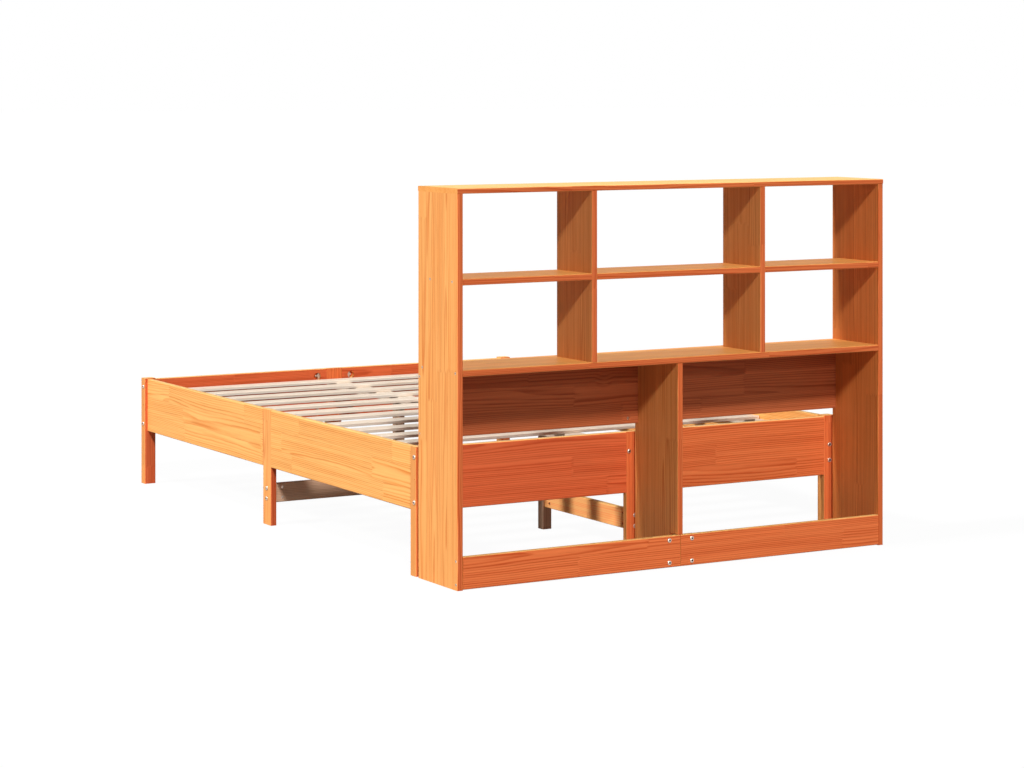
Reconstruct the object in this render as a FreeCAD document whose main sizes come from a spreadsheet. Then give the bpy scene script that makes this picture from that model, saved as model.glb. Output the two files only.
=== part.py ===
import FreeCAD, Part
import os
import re
import Sketcher

# Bookcase headboard bed, knock-down, in pine.
# Millimetres. X runs across the bed, Y from the head (-Y) to the foot (+Y), Z up from the floor.
# The origin lies on the floor under the middle of the whole bed.
# "left" is -X, "right" is +X; "head" is the bookcase end, "foot" the other.

SIZES = (
    # bookcase
    ("overall_width", 1460, "bookcase and bed frame, across the bed"),
    ("bookcase_height", 1100, "floor to the face of the top board"),
    ("bookcase_depth", 230, "back edge to front edge of the bookcase"),
    ("panel_thickness", 18, "every bookcase board but the top"),
    ("top_thickness", 15, "top board"),
    ("edge_radius", 3.5, "rounding of every long edge"),
    ("upper_depth", 195, "depth of the small shelves and upper dividers"),
    ("outer_bay_width", 414, "clear width of the left and right cubbies"),
    ("shelf_level", 852, "floor to the face of the small shelves"),
    ("main_shelf_level", 602, "floor to the face of the main shelf"),
    ("headrest_height", 194, "height of the headrest panels"),
    ("kick_height", 90, "height of the kick boards"),
    ("kick_gap", 1.5, "floor to the kick boards"),
    ("kick_joint", 1.5, "gap between the two kick boards"),
    ("splice_width", 120, "batten behind the joint of the kick boards"),
    ("splice_height", 84, "height of that batten"),
    ("notch_clearance", 1, "play round the kick boards in the divider's notch"),
    # bed frame
    ("bed_gap", 12, "bookcase front to the frame's head end"),
    ("well_length", 1990, "mattress space between head and foot boards"),
    ("rail_thickness", 20, "rails, head and foot boards, mid and centre legs, beams"),
    ("rail_height", 180, "rails, head and foot boards"),
    ("rail_level", 362, "floor to the top of the rails"),
    ("rail_inset", 10, "outer face of the corner legs to the outer face of the rails"),
    ("leg_width", 40, "corner leg, across the bed"),
    ("leg_depth", 35, "corner leg, along the bed"),
    ("leg_rise", 3, "corner leg above the rails"),
    ("foot_setback", 3, "foot board's inner face behind the inner face of its legs"),
    ("mid_leg_width", 60, "mid and centre legs"),
    ("beam_height", 60, "cross beam and long beams"),
    ("beam_level", 69, "floor to the underside of the beams"),
    ("post_size", 32, "square posts under the slat support"),
    ("post_distance", 486, "head or foot board to the near face of its post"),
    ("support_width", 60, "centre slat support"),
    ("support_height", 22, "centre slat support"),
    ("ledge_width", 20, "slat ledges, across the bed"),
    ("ledge_height", 24, "slat ledges"),
    ("ledge_clearance", 4, "underside of a ledge to the nut pocket under it"),
    ("ledge_end_gap", 2, "ledge end to the corner leg"),
    # slats
    ("slat_count", 13, "number of slats"),
    ("slat_width", 60, "slat, along the bed"),
    ("slat_thickness", 10, "slat"),
    ("slat_radius", 2, "rounding of the slat's long edges"),
    ("slat_sink", 36, "top of the rails to the top of the slats"),
    ("slat_end_gap", 4, "slat end to the rail"),
    ("slat_foot_gap", 17, "last slat to the foot board"),
    ("slat_head_gap", 17, "first slat to the head board, clear of the corner legs"),
    # fasteners
    ("bolt_diameter", 6, "shank of bolts and rods"),
    ("hole_clearance", 0.6, "bolt hole over its bolt, on the diameter"),
    ("button_diameter", 13.5, "head of the button-head bolts"),
    ("button_height", 3.5, "head of the button-head bolts"),
    ("button_rim", 1, "straight rim of that head"),
    ("socket_size", 4, "hexagon socket, across flats"),
    ("socket_depth", 2, "hexagon socket"),
    ("corner_pitch", 128, "between the two bolts of a head or foot board's end"),
    ("rail_pitch", 48, "between the two bolts of a side rail's end"),
    ("peg_diameter", 4, "peg hole between the two bolts on a corner leg"),
    ("peg_depth", 8, "that peg hole"),
    ("beam_pitch", 32, "between the two bolts of a beam's end"),
    ("support_pitch", 42, "between the two bolts of the slat support's end"),
    ("pocket_diameter", 25, "round nut pocket in rails and boards"),
    ("pocket_depth", 15, "nut pocket"),
    ("pocket_setback", 36.5, "board end to the centre of its nut pocket"),
    ("washer_height", 11, "crescent washer, along its pocket"),
    ("washer_flat", 3, "pocket centre to the washer's flat"),
    ("nut_size", 10, "hexagon nut, across flats"),
    ("nut_height", 5, "hexagon nut"),
    ("thread_end", 3, "bolt past its nut"),
    ("barrel_diameter", 10, "barrel nut"),
    ("barrel_length", 14, "barrel nut"),
    ("barrel_setback", 30, "board end to the axis of its barrel nut"),
    ("panel_barrel_setback", 34, "headrest panel's end to the axis of its barrel nut"),
    ("dowel_diameter", 8, "wooden dowel"),
    ("dowel_length", 26, "dowel at the end of an upright"),
    ("dowel_shelf_depth", 9, "how far a dowel enters the board across it"),
    ("shelf_dowel_depth", 16, "how far a through dowel enters each small shelf"),
    ("screw_diameter", 4, "wood screw"),
    ("screw_head", 8, "head of a panel, ledge or post screw"),
    ("screw_head_height", 2.5, "head of a wood screw, sunk flush"),
    ("panel_screw_length", 50, "screw through a side panel"),
    ("slat_screw_head", 7, "head of a slat screw"),
    ("slat_screw_length", 30, "screw through a slat into its ledge"),
    ("ledge_screw_length", 34, "screw through a ledge into its rail"),
    ("post_screw_length", 60, "screw through the slat support into a post"),
    ("insert_diameter", 10, "threaded insert behind a kick board"),
    ("insert_length", 12, "threaded insert"),
    ("shelf_hole_back", 31, "bookcase back to the first hole of a small shelf"),
    ("shelf_hole_pitch", 128, "between the holes of a small shelf"),
    ("main_hole_back", 13, "bookcase back to the first hole of the main shelf"),
    ("main_hole_pitch", 192, "between the holes of the main shelf"),
    ("headrest_hole_top", 18, "main shelf to the first hole of a headrest panel"),
    ("headrest_hole_pitch", 160, "between the holes of a headrest panel"),
    ("kick_hole_top", 12, "top of the kick board to its first hole"),
    ("kick_hole_pitch", 64, "between the holes of a kick board"),
    ("kick_bolt_offset", 38.5, "middle of the bookcase to the kick bolts"),
)

# Places that follow from the sizes, in the part's own frame.
LAYOUT = (
    ("half_width", "overall_width / 2"),
    ("panel_inner", "half_width - panel_thickness"),
    ("panel_middle", "half_width - panel_thickness / 2"),
    ("divider_outer", "panel_inner - outer_bay_width"),
    ("divider_inner", "divider_outer - panel_thickness"),
    ("divider_middle", "divider_outer - panel_thickness / 2"),
    ("half_divider", "panel_thickness / 2"),
    ("rail_outer", "half_width - rail_inset"),
    ("rail_inner", "rail_outer - rail_thickness"),
    ("rail_middle", "rail_outer - rail_thickness / 2"),
    ("leg_inner", "half_width - leg_width"),
    ("half_mid_leg", "mid_leg_width / 2"),
    ("half_beam", "rail_thickness / 2"),
    ("half_post", "post_size / 2"),
    ("half_support", "support_width / 2"),
    ("half_joint", "kick_joint / 2"),
    ("half_splice", "splice_width / 2"),
    ("ledge_inner", "rail_inner - ledge_width"),
    ("ledge_middle", "rail_inner - ledge_width / 2"),
    ("slat_half", "rail_inner - slat_end_gap"),
    # along the bed
    ("frame_length", "rail_thickness + well_length - foot_setback + leg_depth"),
    ("back_face", "-(bookcase_depth + bed_gap + frame_length) / 2"),
    ("front_face", "back_face + bookcase_depth"),
    ("kick_middle", "back_face + panel_thickness / 2"),
    ("kick_front", "back_face + panel_thickness"),
    ("headrest_back", "front_face - panel_thickness"),
    ("headrest_middle", "front_face - panel_thickness / 2"),
    ("frame_head", "front_face + bed_gap"),
    ("head_leg_end", "frame_head + leg_depth"),
    ("well_head", "frame_head + rail_thickness"),
    ("head_board_middle", "frame_head + rail_thickness / 2"),
    ("well_foot", "well_head + well_length"),
    ("foot_board_middle", "well_foot + rail_thickness / 2"),
    ("foot_board_end", "well_foot + rail_thickness"),
    ("foot_leg_start", "well_foot - foot_setback"),
    ("frame_foot", "foot_leg_start + leg_depth"),
    ("frame_middle", "(frame_head + frame_foot) / 2"),
    ("mid_leg_head", "frame_middle - half_mid_leg"),
    ("mid_leg_foot", "frame_middle + half_mid_leg"),
    ("head_post_near", "well_head + post_distance"),
    ("head_post_far", "head_post_near + post_size"),
    ("foot_post_near", "well_foot - post_distance"),
    ("foot_post_far", "foot_post_near - post_size"),
    ("ledge_head", "head_leg_end + ledge_end_gap"),
    ("slat_pitch", "(well_length - slat_head_gap - slat_foot_gap - slat_width) / (slat_count - 1)"),
    ("slat_first", "well_head + slat_head_gap + slat_width / 2"),
    # heights
    ("panel_height", "bookcase_height - top_thickness"),
    ("shelf_under", "shelf_level - panel_thickness"),
    ("shelf_middle", "shelf_level - panel_thickness / 2"),
    ("main_under", "main_shelf_level - panel_thickness"),
    ("main_middle", "main_shelf_level - panel_thickness / 2"),
    ("headrest_bottom", "main_under - headrest_height"),
    ("kick_top", "kick_gap + kick_height"),
    ("splice_bottom", "kick_gap + (kick_height - splice_height) / 2"),
    ("rail_bottom", "rail_level - rail_height"),
    ("rail_axis", "rail_level - rail_height / 2"),
    ("leg_height", "rail_level + leg_rise"),
    ("beam_axis", "beam_level + beam_height / 2"),
    ("slat_level", "rail_level - slat_sink"),
    ("slat_under", "slat_level - slat_thickness"),
    ("ledge_bottom", "slat_under - ledge_height"),
    ("ledge_axis", "slat_under - ledge_height / 2"),
    ("rail_bolt_top", "ledge_bottom - ledge_clearance - pocket_diameter / 2"),
    ("rail_bolt_axis", "rail_bolt_top - rail_pitch / 2"),
    ("support_bottom", "slat_under - support_height"),
    ("support_axis", "slat_under - support_height / 2"),
    # fasteners
    ("bolt_hole", "bolt_diameter + hole_clearance"),
    ("bolt_reach", "pocket_setback - washer_flat + nut_height + thread_end"),
    ("barrel_reach", "barrel_setback + barrel_diameter / 2"),
    ("panel_barrel_reach", "panel_barrel_setback + barrel_diameter / 2"),
    ("barrel_hole_depth", "rail_thickness / 2 + barrel_length / 2"),
    ("panel_barrel_depth", "panel_thickness / 2 + barrel_length / 2"),
    ("dowel_upright_depth", "dowel_length - dowel_shelf_depth"),
    ("screw_grip", "panel_screw_length - panel_thickness"),
)

OWNER = {alias: "Dimensions" for alias, _, _ in SIZES}
OWNER.update({alias: "Layout" for alias, _ in LAYOUT})
SIZE_NAME = re.compile(r"[a-z]+(?:_[a-z]+)+")

Vector = FreeCAD.Vector
X_AXIS, Y_AXIS, Z_AXIS = Vector(1, 0, 0), Vector(0, 1, 0), Vector(0, 0, 1)
DIRECTION = {
    "+x": X_AXIS, "-x": -X_AXIS, "+y": Y_AXIS, "-y": -Y_AXIS, "+z": Z_AXIS, "-z": -Z_AXIS,
}
GRAIN = {"x": X_AXIS, "y": Y_AXIS, "z": Z_AXIS}
INWARD = {"left": "+x", "right": "-x"}
OUTWARD = {"left": "-x", "right": "+x"}
SIDES = ("left", "right")
ALIGNED = 1e-6
# length of an outline's lines before their formulas are bound
UNBOUND = 1

doc = FreeCAD.newDocument("BookcaseHeadboardBed")
nodes = []
corners = {}


# ---------------------------------------------------------------- sheets and formulas

def tie(formula):
    """Point each size name in a formula at the sheet that holds it."""
    return SIZE_NAME.sub(lambda found: OWNER[found.group()] + "." + found.group(), formula)


def bind(target, prop, formula):
    target.setExpression(prop, tie(formula))


def bind_place(target, place):
    for letter, formula in zip("xyz", place):
        bind(target, "Placement.Base." + letter, formula)


def fill_sheets():
    dimensions = doc.addObject("Spreadsheet::Sheet", "Dimensions")
    for row, (alias, value, meaning) in enumerate(SIZES, start=1):
        dimensions.set("A%d" % row, meaning)
        dimensions.set("B%d" % row, str(value))
        dimensions.setAlias("B%d" % row, alias)
    layout = doc.addObject("Spreadsheet::Sheet", "Layout")
    for row, (alias, _) in enumerate(LAYOUT, start=1):
        layout.setAlias("B%d" % row, alias)
    for row, (_, formula) in enumerate(LAYOUT, start=1):
        layout.set("B%d" % row, "=" + tie(formula))
    doc.recompute()
    return {"Dimensions": dimensions, "Layout": layout}


def number(alias):
    """The present value of a size, for counting and sorting."""
    return float(sheets[OWNER[alias]].get(alias))


def mirrored(side, formula):
    """A place right of the middle, or its mirror image left of it."""
    return "-(%s)" % formula if side == "left" else formula


def low_x(side, inner, outer):
    """Lowest X of a piece that reaches from inner to outer on the given side."""
    return mirrored("left", outer) if side == "left" else inner


def above_and_below(middle, pitch):
    return ["%s + %s / 2" % (middle, pitch), "%s - %s / 2" % (middle, pitch)]


# ---------------------------------------------------------------- boards

def outline(body, name, width, depth):
    """A rectangle from the body's corner, on its floor plane."""
    plane = [item for item in body.Origin.OriginFeatures if item.Role == "XY_Plane"][0]
    sketch = body.newObject("Sketcher::SketchObject", name + "_outline")
    sketch.AttachmentSupport = [(plane, "")]
    sketch.MapMode = "FlatFace"
    points = [Vector(0, 0, 0), Vector(UNBOUND, 0, 0), Vector(UNBOUND, UNBOUND, 0), Vector(0, UNBOUND, 0)]
    for index in range(4):
        sketch.addGeometry(Part.LineSegment(points[index], points[(index + 1) % 4]))
    for index in range(4):
        sketch.addConstraint(Sketcher.Constraint("Coincident", index, 2, (index + 1) % 4, 1))
    for index, kind in enumerate(("Horizontal", "Vertical", "Horizontal", "Vertical")):
        sketch.addConstraint(Sketcher.Constraint(kind, index))
    sketch.addConstraint(Sketcher.Constraint("Coincident", 0, 1, -1, 1))
    for kind, line, label, formula in (("DistanceX", 0, "width", width), ("DistanceY", 1, "depth", depth)):
        constraint = sketch.addConstraint(Sketcher.Constraint(kind, line, 1, line, 2, UNBOUND))
        sketch.renameConstraint(constraint, label)
        bind(sketch, "Constraints." + label, formula)
    return sketch


def long_edges(shape, grain):
    """The straight edges that run with the grain."""
    names = []
    for index, edge in enumerate(shape.Edges, start=1):
        along = (edge.Vertexes[1].Point - edge.Vertexes[0].Point).normalize()
        if along.cross(GRAIN[grain]).Length < ALIGNED:
            names.append("Edge%d" % index)
    return names


def board(name, low, span, grain, radius="edge_radius", node=True):
    """A plank with rounded long edges; low is its lowest corner, span its size along X, Y and Z."""
    body = doc.addObject("PartDesign::Body", name)
    body.Label = name
    pad = body.newObject("PartDesign::Pad", name + "_plank")
    pad.Profile = outline(body, name, span[0], span[1])
    bind(pad, "Length", span[2])
    doc.recompute()
    rounding = body.newObject("PartDesign::Fillet", name + "_rounding")
    rounding.Base = (pad, long_edges(pad.Shape, grain))
    bind(rounding, "Radius", radius)
    bind_place(body, low)
    corners[name] = low
    if node:
        nodes.append(body)
    return body


def bore(body, label, start, axis, diameter, depth):
    """A round hole from start, given in the part's frame, running along axis for depth."""
    hole = body.newObject("PartDesign::SubtractiveCylinder", body.Name + "_" + label)
    hole.Placement = FreeCAD.Placement(Vector(), FreeCAD.Rotation(Z_AXIS, DIRECTION[axis]))
    bind(hole, "Radius", "(%s) / 2" % diameter)
    bind(hole, "Height", depth)
    local = ["(%s) - (%s)" % pair for pair in zip(start, corners[body.Name])]
    bind_place(hole, local)
    return hole


def notch(body, label, low, span):
    """A rectangular piece cut out of a board, given in the part's frame."""
    cut = body.newObject("PartDesign::SubtractiveBox", body.Name + "_" + label)
    for prop, formula in zip(("Length", "Width", "Height"), span):
        bind(cut, prop, formula)
    bind_place(cut, ["(%s) - (%s)" % pair for pair in zip(low, corners[body.Name])])
    return cut


def sunk_screw_hole(body, label, face, axis, head, thickness):
    """Hole through a board for a screw whose head is sunk flush with its face."""
    bore(body, label + "_sink", face, axis, head, "screw_head_height")
    bore(body, label + "_hole", face, axis, "screw_diameter", thickness)


def nut_pocket(body, label, end, axis, height, depth_axis, face):
    """A bolt hole in the end of a board and the round pocket that its nut sits in.

    end is the board's end face, axis the way the bolt goes in, face the board face the pocket opens on.
    """
    along = {"x": 0, "y": 1}[axis[1]]
    across = 1 - along
    sign = "+" if axis[0] == "+" else "-"
    start = [None, None, height]
    start[along] = end
    start[across] = face[1]
    bore(body, label + "_hole", start, axis, "bolt_hole", "pocket_setback")
    centre = [None, None, height]
    centre[along] = "%s %s pocket_setback" % (end, sign)
    centre[across] = face[0]
    bore(body, label + "_pocket", centre, depth_axis, "pocket_diameter", "pocket_depth")


# ---------------------------------------------------------------- fasteners

def whole(kind, name, **sizes):
    """A primitive solid with its sizes tied to the sheet."""
    solid = doc.addObject("Part::" + kind, name)
    for prop, formula in sizes.items():
        bind(solid, prop, formula)
    return solid


def cut(name, base, tool):
    result = doc.addObject("Part::Cut", name)
    result.Base = base
    result.Tool = tool
    return result


def button_bolt(name, length):
    """Button-head bolt along +Z, its head below the origin and a hexagon socket in the head."""
    shank = whole("Cylinder", name + "_shank", Radius="bolt_diameter / 2", Height=length)
    rim = whole("Cylinder", name + "_rim", Radius="button_diameter / 2", Height="button_rim")
    bind(rim, "Placement.Base.z", "-button_rim")
    dome = whole("Cone", name + "_dome", Radius1="button_diameter / 4", Radius2="button_diameter / 2",
                 Height="button_height - button_rim")
    bind(dome, "Placement.Base.z", "-button_height")
    solid = doc.addObject("Part::MultiFuse", name + "_solid")
    solid.Shapes = [shank, rim, dome]
    socket = whole("Prism", name + "_socket", Circumradius="socket_size / sqrt(3)", Height="socket_depth")
    bind(socket, "Placement.Base.z", "-button_height")
    return cut(name, solid, socket)


def flush_screw(name, length, head="screw_head"):
    """Wood screw along +Z with its head's face at the origin."""
    head_disc = whole("Cylinder", name + "_head", Radius="%s / 2" % head, Height="screw_head_height")
    shank = whole("Cylinder", name + "_shank", Radius="screw_diameter / 2", Height=length)
    solid = doc.addObject("Part::MultiFuse", name + "_solid")
    solid.Shapes = [head_disc, shank]
    socket = whole("Prism", name + "_socket", Circumradius="screw_diameter / 3",
                   Height="screw_head_height / 2")
    return cut(name, solid, socket)


def crescent_washer():
    """Half-moon washer: its bolt runs along +Z, its round side bears on the wall of the pocket.

    The origin is the pocket's centre at the level of the bolt, and the pocket's axis is Y.
    """
    disc = whole("Cylinder", "washer_disc", Radius="pocket_diameter / 2", Height="washer_height")
    disc.Placement = FreeCAD.Placement(Vector(), FreeCAD.Rotation(Z_AXIS, Y_AXIS))
    bind(disc, "Placement.Base.y", "-washer_height / 2")
    away = whole("Box", "washer_open_half", Length="pocket_diameter", Width="pocket_diameter",
                 Height="pocket_diameter")
    bind_place(away, ("-pocket_diameter / 2", "-pocket_diameter / 2", "-washer_flat"))
    bolt = whole("Cylinder", "washer_bolt_hole", Radius="bolt_hole / 2", Height="pocket_diameter")
    bind(bolt, "Placement.Base.z", "-pocket_diameter / 2")
    return cut("washer", cut("washer_half", disc, away), bolt)


def hexagon_nut():
    """Nut along +Z from the origin."""
    prism = whole("Prism", "nut_prism", Circumradius="nut_size / sqrt(3)", Height="nut_height")
    thread = whole("Cylinder", "nut_thread", Radius="bolt_diameter / 2", Height="nut_height")
    return cut("nut", prism, thread)


def barrel_nut():
    """Barrel nut with its own axis along Y and its thread along Z, centred on the origin."""
    barrel = whole("Cylinder", "barrel_round", Radius="barrel_diameter / 2", Height="barrel_length")
    barrel.Placement = FreeCAD.Placement(Vector(), FreeCAD.Rotation(Z_AXIS, Y_AXIS))
    bind(barrel, "Placement.Base.y", "-barrel_length / 2")
    thread = whole("Cylinder", "barrel_thread", Radius="bolt_diameter / 2", Height="barrel_diameter")
    bind(thread, "Placement.Base.z", "-barrel_diameter / 2")
    return cut("barrel", barrel, thread)


def threaded_insert():
    """Threaded insert along +Z from the origin."""
    sleeve = whole("Cylinder", "insert_sleeve", Radius="insert_diameter / 2", Height="insert_length")
    thread = whole("Cylinder", "insert_thread", Radius="bolt_diameter / 2", Height="insert_length")
    return cut("insert", sleeve, thread)


def turned(axis, barrel_along=None):
    """Rotation that takes +Z to axis and, where given, Y to the way a pocket or barrel hole runs."""
    if barrel_along is None:
        return FreeCAD.Rotation(Z_AXIS, DIRECTION[axis])
    third = DIRECTION[barrel_along].cross(DIRECTION[axis])
    return FreeCAD.Rotation(third, DIRECTION[barrel_along], DIRECTION[axis], "ZYX")


def group(name, master, places):
    """One node that holds a copy of master at each place: (point, axis) or (point, axis, barrel axis)."""
    copies = []
    for index, (point, *way) in enumerate(places, start=1):
        copy = doc.addObject("App::Link", "%s_%d" % (name, index))
        copy.LinkedObject = master
        copy.Placement = FreeCAD.Placement(Vector(), turned(*way))
        bind_place(copy, point)
        copies.append(copy)
    node = doc.addObject("Part::Compound", name)
    node.Label = name
    node.Links = copies
    nodes.append(node)
    return node


# ---------------------------------------------------------------- shared hole places

SHELF_HOLES = ["back_face + shelf_hole_back", "back_face + shelf_hole_back + shelf_hole_pitch"]
MAIN_HOLES = ["back_face + main_hole_back", "back_face + main_hole_back + main_hole_pitch"]
HEADREST_HOLES = [
    "main_under - headrest_hole_top",
    "main_under - headrest_hole_top - headrest_hole_pitch",
]
KICK_HOLES = ["kick_top - kick_hole_top", "kick_top - kick_hole_top - kick_hole_pitch"]
PANEL_SCREWS = (
    [(y, "shelf_middle") for y in SHELF_HOLES]
    + [(y, "main_middle") for y in MAIN_HOLES]
    + [("headrest_middle", z) for z in HEADREST_HOLES]
    + [("kick_middle", z) for z in KICK_HOLES]
)
CORNER_BOLTS = above_and_below("rail_axis", "corner_pitch")
RAIL_BOLTS = above_and_below("rail_bolt_axis", "rail_pitch")
BEAM_BOLTS = above_and_below("beam_axis", "beam_pitch")
SUPPORT_BOLTS = ["support_pitch / 2", "-support_pitch / 2"]


# ---------------------------------------------------------------- bookcase

def side_panel(side):
    panel = board(side + "_side_panel", (low_x(side, "panel_inner", "half_width"), "back_face", "0"),
                  ("panel_thickness", "bookcase_depth", "panel_height"), "z")
    for index, (y, z) in enumerate(PANEL_SCREWS, start=1):
        face = (mirrored(side, "half_width"), y, z)
        sunk_screw_hole(panel, "screw_%d" % index, face, INWARD[side], "screw_head", "panel_thickness")
    for index, y in enumerate(SHELF_HOLES, start=1):
        top = (mirrored(side, "panel_middle"), y, "panel_height")
        bore(panel, "dowel_%d" % index, top, "-z", "dowel_diameter", "dowel_upright_depth")


def top_board():
    top = board("top_board", ("-half_width", "back_face", "panel_height"),
                ("overall_width", "bookcase_depth", "top_thickness"), "x")
    for side in SIDES:
        for place in ("panel_middle", "divider_middle"):
            for index, y in enumerate(SHELF_HOLES, start=1):
                under = (mirrored(side, place), y, "panel_height")
                bore(top, "%s_%s_%d" % (side, place, index), under, "+z", "dowel_diameter", "dowel_shelf_depth")


def upper_divider(side):
    divider = board(side + "_upper_divider",
                    (low_x(side, "divider_inner", "divider_outer"), "back_face", "main_shelf_level"),
                    ("panel_thickness", "upper_depth", "panel_height - main_shelf_level"), "z")
    for index, y in enumerate(SHELF_HOLES, start=1):
        middle = mirrored(side, "divider_middle")
        bore(divider, "top_%d" % index, (middle, y, "panel_height"), "-z",
             "dowel_diameter", "dowel_upright_depth")
        bore(divider, "foot_%d" % index, (middle, y, "main_shelf_level"), "+z",
             "dowel_diameter", "dowel_upright_depth")
        bore(divider, "shelf_%d" % index, (mirrored(side, "divider_outer"), y, "shelf_middle"),
             INWARD[side], "dowel_diameter", "panel_thickness")


def outer_shelf(side):
    shelf = board(side + "_shelf", (low_x(side, "divider_outer", "panel_inner"), "back_face", "shelf_under"),
                  ("outer_bay_width", "upper_depth", "panel_thickness"), "x")
    for index, y in enumerate(SHELF_HOLES, start=1):
        bore(shelf, "screw_%d" % index, (mirrored(side, "panel_inner"), y, "shelf_middle"), INWARD[side],
             "screw_diameter", "screw_grip")
        bore(shelf, "dowel_%d" % index, (mirrored(side, "divider_outer"), y, "shelf_middle"), OUTWARD[side],
             "dowel_diameter", "shelf_dowel_depth")


def middle_shelf():
    shelf = board("middle_shelf", ("-divider_inner", "back_face", "shelf_under"),
                  ("2 * divider_inner", "upper_depth", "panel_thickness"), "x")
    for side in SIDES:
        for index, y in enumerate(SHELF_HOLES, start=1):
            bore(shelf, "%s_dowel_%d" % (side, index), (mirrored(side, "divider_inner"), y, "shelf_middle"),
                 INWARD[side], "dowel_diameter", "shelf_dowel_depth")


def main_shelf():
    shelf = board("main_shelf", ("-panel_inner", "back_face", "main_under"),
                  ("2 * panel_inner", "bookcase_depth", "panel_thickness"), "x")
    for side in SIDES:
        for index, y in enumerate(MAIN_HOLES, start=1):
            bore(shelf, "%s_screw_%d" % (side, index), (mirrored(side, "panel_inner"), y, "main_middle"),
                 INWARD[side], "screw_diameter", "screw_grip")
        for index, y in enumerate(SHELF_HOLES, start=1):
            bore(shelf, "%s_dowel_%d" % (side, index), (mirrored(side, "divider_middle"), y, "main_shelf_level"),
                 "-z", "dowel_diameter", "dowel_shelf_depth")
    for index, y in enumerate(SHELF_HOLES, start=1):
        bore(shelf, "middle_dowel_%d" % index, ("0", y, "main_under"), "+z", "dowel_diameter",
             "dowel_shelf_depth")


def lower_divider():
    """Stands on the floor under the main shelf, notched at the back for the kick boards."""
    divider = board("lower_divider", ("-half_divider", "back_face", "0"),
                    ("panel_thickness", "bookcase_depth", "main_under"), "z")
    notch(divider, "kick_notch", ("-half_divider", "back_face", "0"),
          ("panel_thickness", "2 * panel_thickness + notch_clearance", "kick_top + notch_clearance"))
    for index, y in enumerate(SHELF_HOLES, start=1):
        bore(divider, "dowel_%d" % index, ("0", y, "main_under"), "-z", "dowel_diameter",
             "dowel_upright_depth")
    for index, z in enumerate(HEADREST_HOLES, start=1):
        bore(divider, "stud_%d" % index, ("-half_divider", "headrest_middle", z), "+x", "bolt_hole",
             "panel_thickness")


def headrest_panel(side):
    panel = board(side + "_headrest_panel",
                  (low_x(side, "half_divider", "panel_inner"), "headrest_back", "headrest_bottom"),
                  ("panel_inner - half_divider", "panel_thickness", "headrest_height"), "x")
    for index, z in enumerate(HEADREST_HOLES, start=1):
        bore(panel, "screw_%d" % index, (mirrored(side, "panel_inner"), "headrest_middle", z), INWARD[side],
             "screw_diameter", "screw_grip")
        bore(panel, "stud_%d" % index, (mirrored(side, "half_divider"), "headrest_middle", z), OUTWARD[side],
             "bolt_hole", "panel_barrel_reach")
        bore(panel, "barrel_%d" % index, (mirrored(side, "half_divider + panel_barrel_setback"),
                                          "headrest_back", z), "+y", "barrel_diameter", "panel_barrel_depth")


def kick_board(side):
    kick = board(side + "_kick_board", (low_x(side, "half_joint", "panel_inner"), "back_face", "kick_gap"),
                 ("panel_inner - half_joint", "panel_thickness", "kick_height"), "x")
    for index, z in enumerate(KICK_HOLES, start=1):
        bore(kick, "screw_%d" % index, (mirrored(side, "panel_inner"), "kick_middle", z), INWARD[side],
             "screw_diameter", "screw_grip")
        bore(kick, "bolt_%d" % index, (mirrored(side, "kick_bolt_offset"), "back_face", z), "+y", "bolt_hole",
             "panel_thickness")


def kick_splice():
    splice = board("kick_splice", ("-half_splice", "kick_front", "splice_bottom"),
                   ("splice_width", "panel_thickness", "splice_height"), "x")
    for side in SIDES:
        for index, z in enumerate(KICK_HOLES, start=1):
            bore(splice, "%s_insert_%d" % (side, index), (mirrored(side, "kick_bolt_offset"), "kick_front", z),
                 "+y", "insert_diameter", "insert_length")


# ---------------------------------------------------------------- bed frame

FRAME_ENDS = {
    # end: leg's low Y, board's low Y, board middle, leg face that meets the rails, way from rail to leg
    "head": ("frame_head", "frame_head", "head_board_middle", "head_leg_end", "-y"),
    "foot": ("foot_leg_start", "well_foot", "foot_board_middle", "foot_leg_start", "+y"),
}
LEG_OUTER_FACE = {"head": "frame_head", "foot": "frame_foot"}
TOWARDS_FOOT = {"head": "+y", "foot": "-y"}
BOARD_INNER_FACE = {"head": "well_head", "foot": "well_foot"}
BOARD_OUTER_FACE = {"head": "frame_head", "foot": "foot_board_end"}
POCKET_WAY = {"head": "-y", "foot": "+y"}
MID_POCKETS = {"head": "mid_leg_head - pocket_setback", "foot": "mid_leg_foot + pocket_setback"}


def corner_leg(end, side):
    low_y, _, board_middle, _, _ = FRAME_ENDS[end]
    leg = board("%s_%s_leg" % (end, side), (low_x(side, "leg_inner", "half_width"), low_y, "0"),
                ("leg_width", "leg_depth", "leg_height"), "z")
    for index, z in enumerate(CORNER_BOLTS, start=1):
        bore(leg, "board_bolt_%d" % index, (mirrored(side, "half_width"), board_middle, z), INWARD[side],
             "bolt_hole", "leg_width")
    bore(leg, "peg_hole", (mirrored(side, "half_width"), board_middle, "rail_axis"), INWARD[side],
         "peg_diameter", "peg_depth")
    for index, z in enumerate(RAIL_BOLTS, start=1):
        bore(leg, "rail_bolt_%d" % index, (mirrored(side, "rail_middle"), LEG_OUTER_FACE[end], z),
             TOWARDS_FOOT[end], "bolt_hole", "leg_depth")


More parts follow.
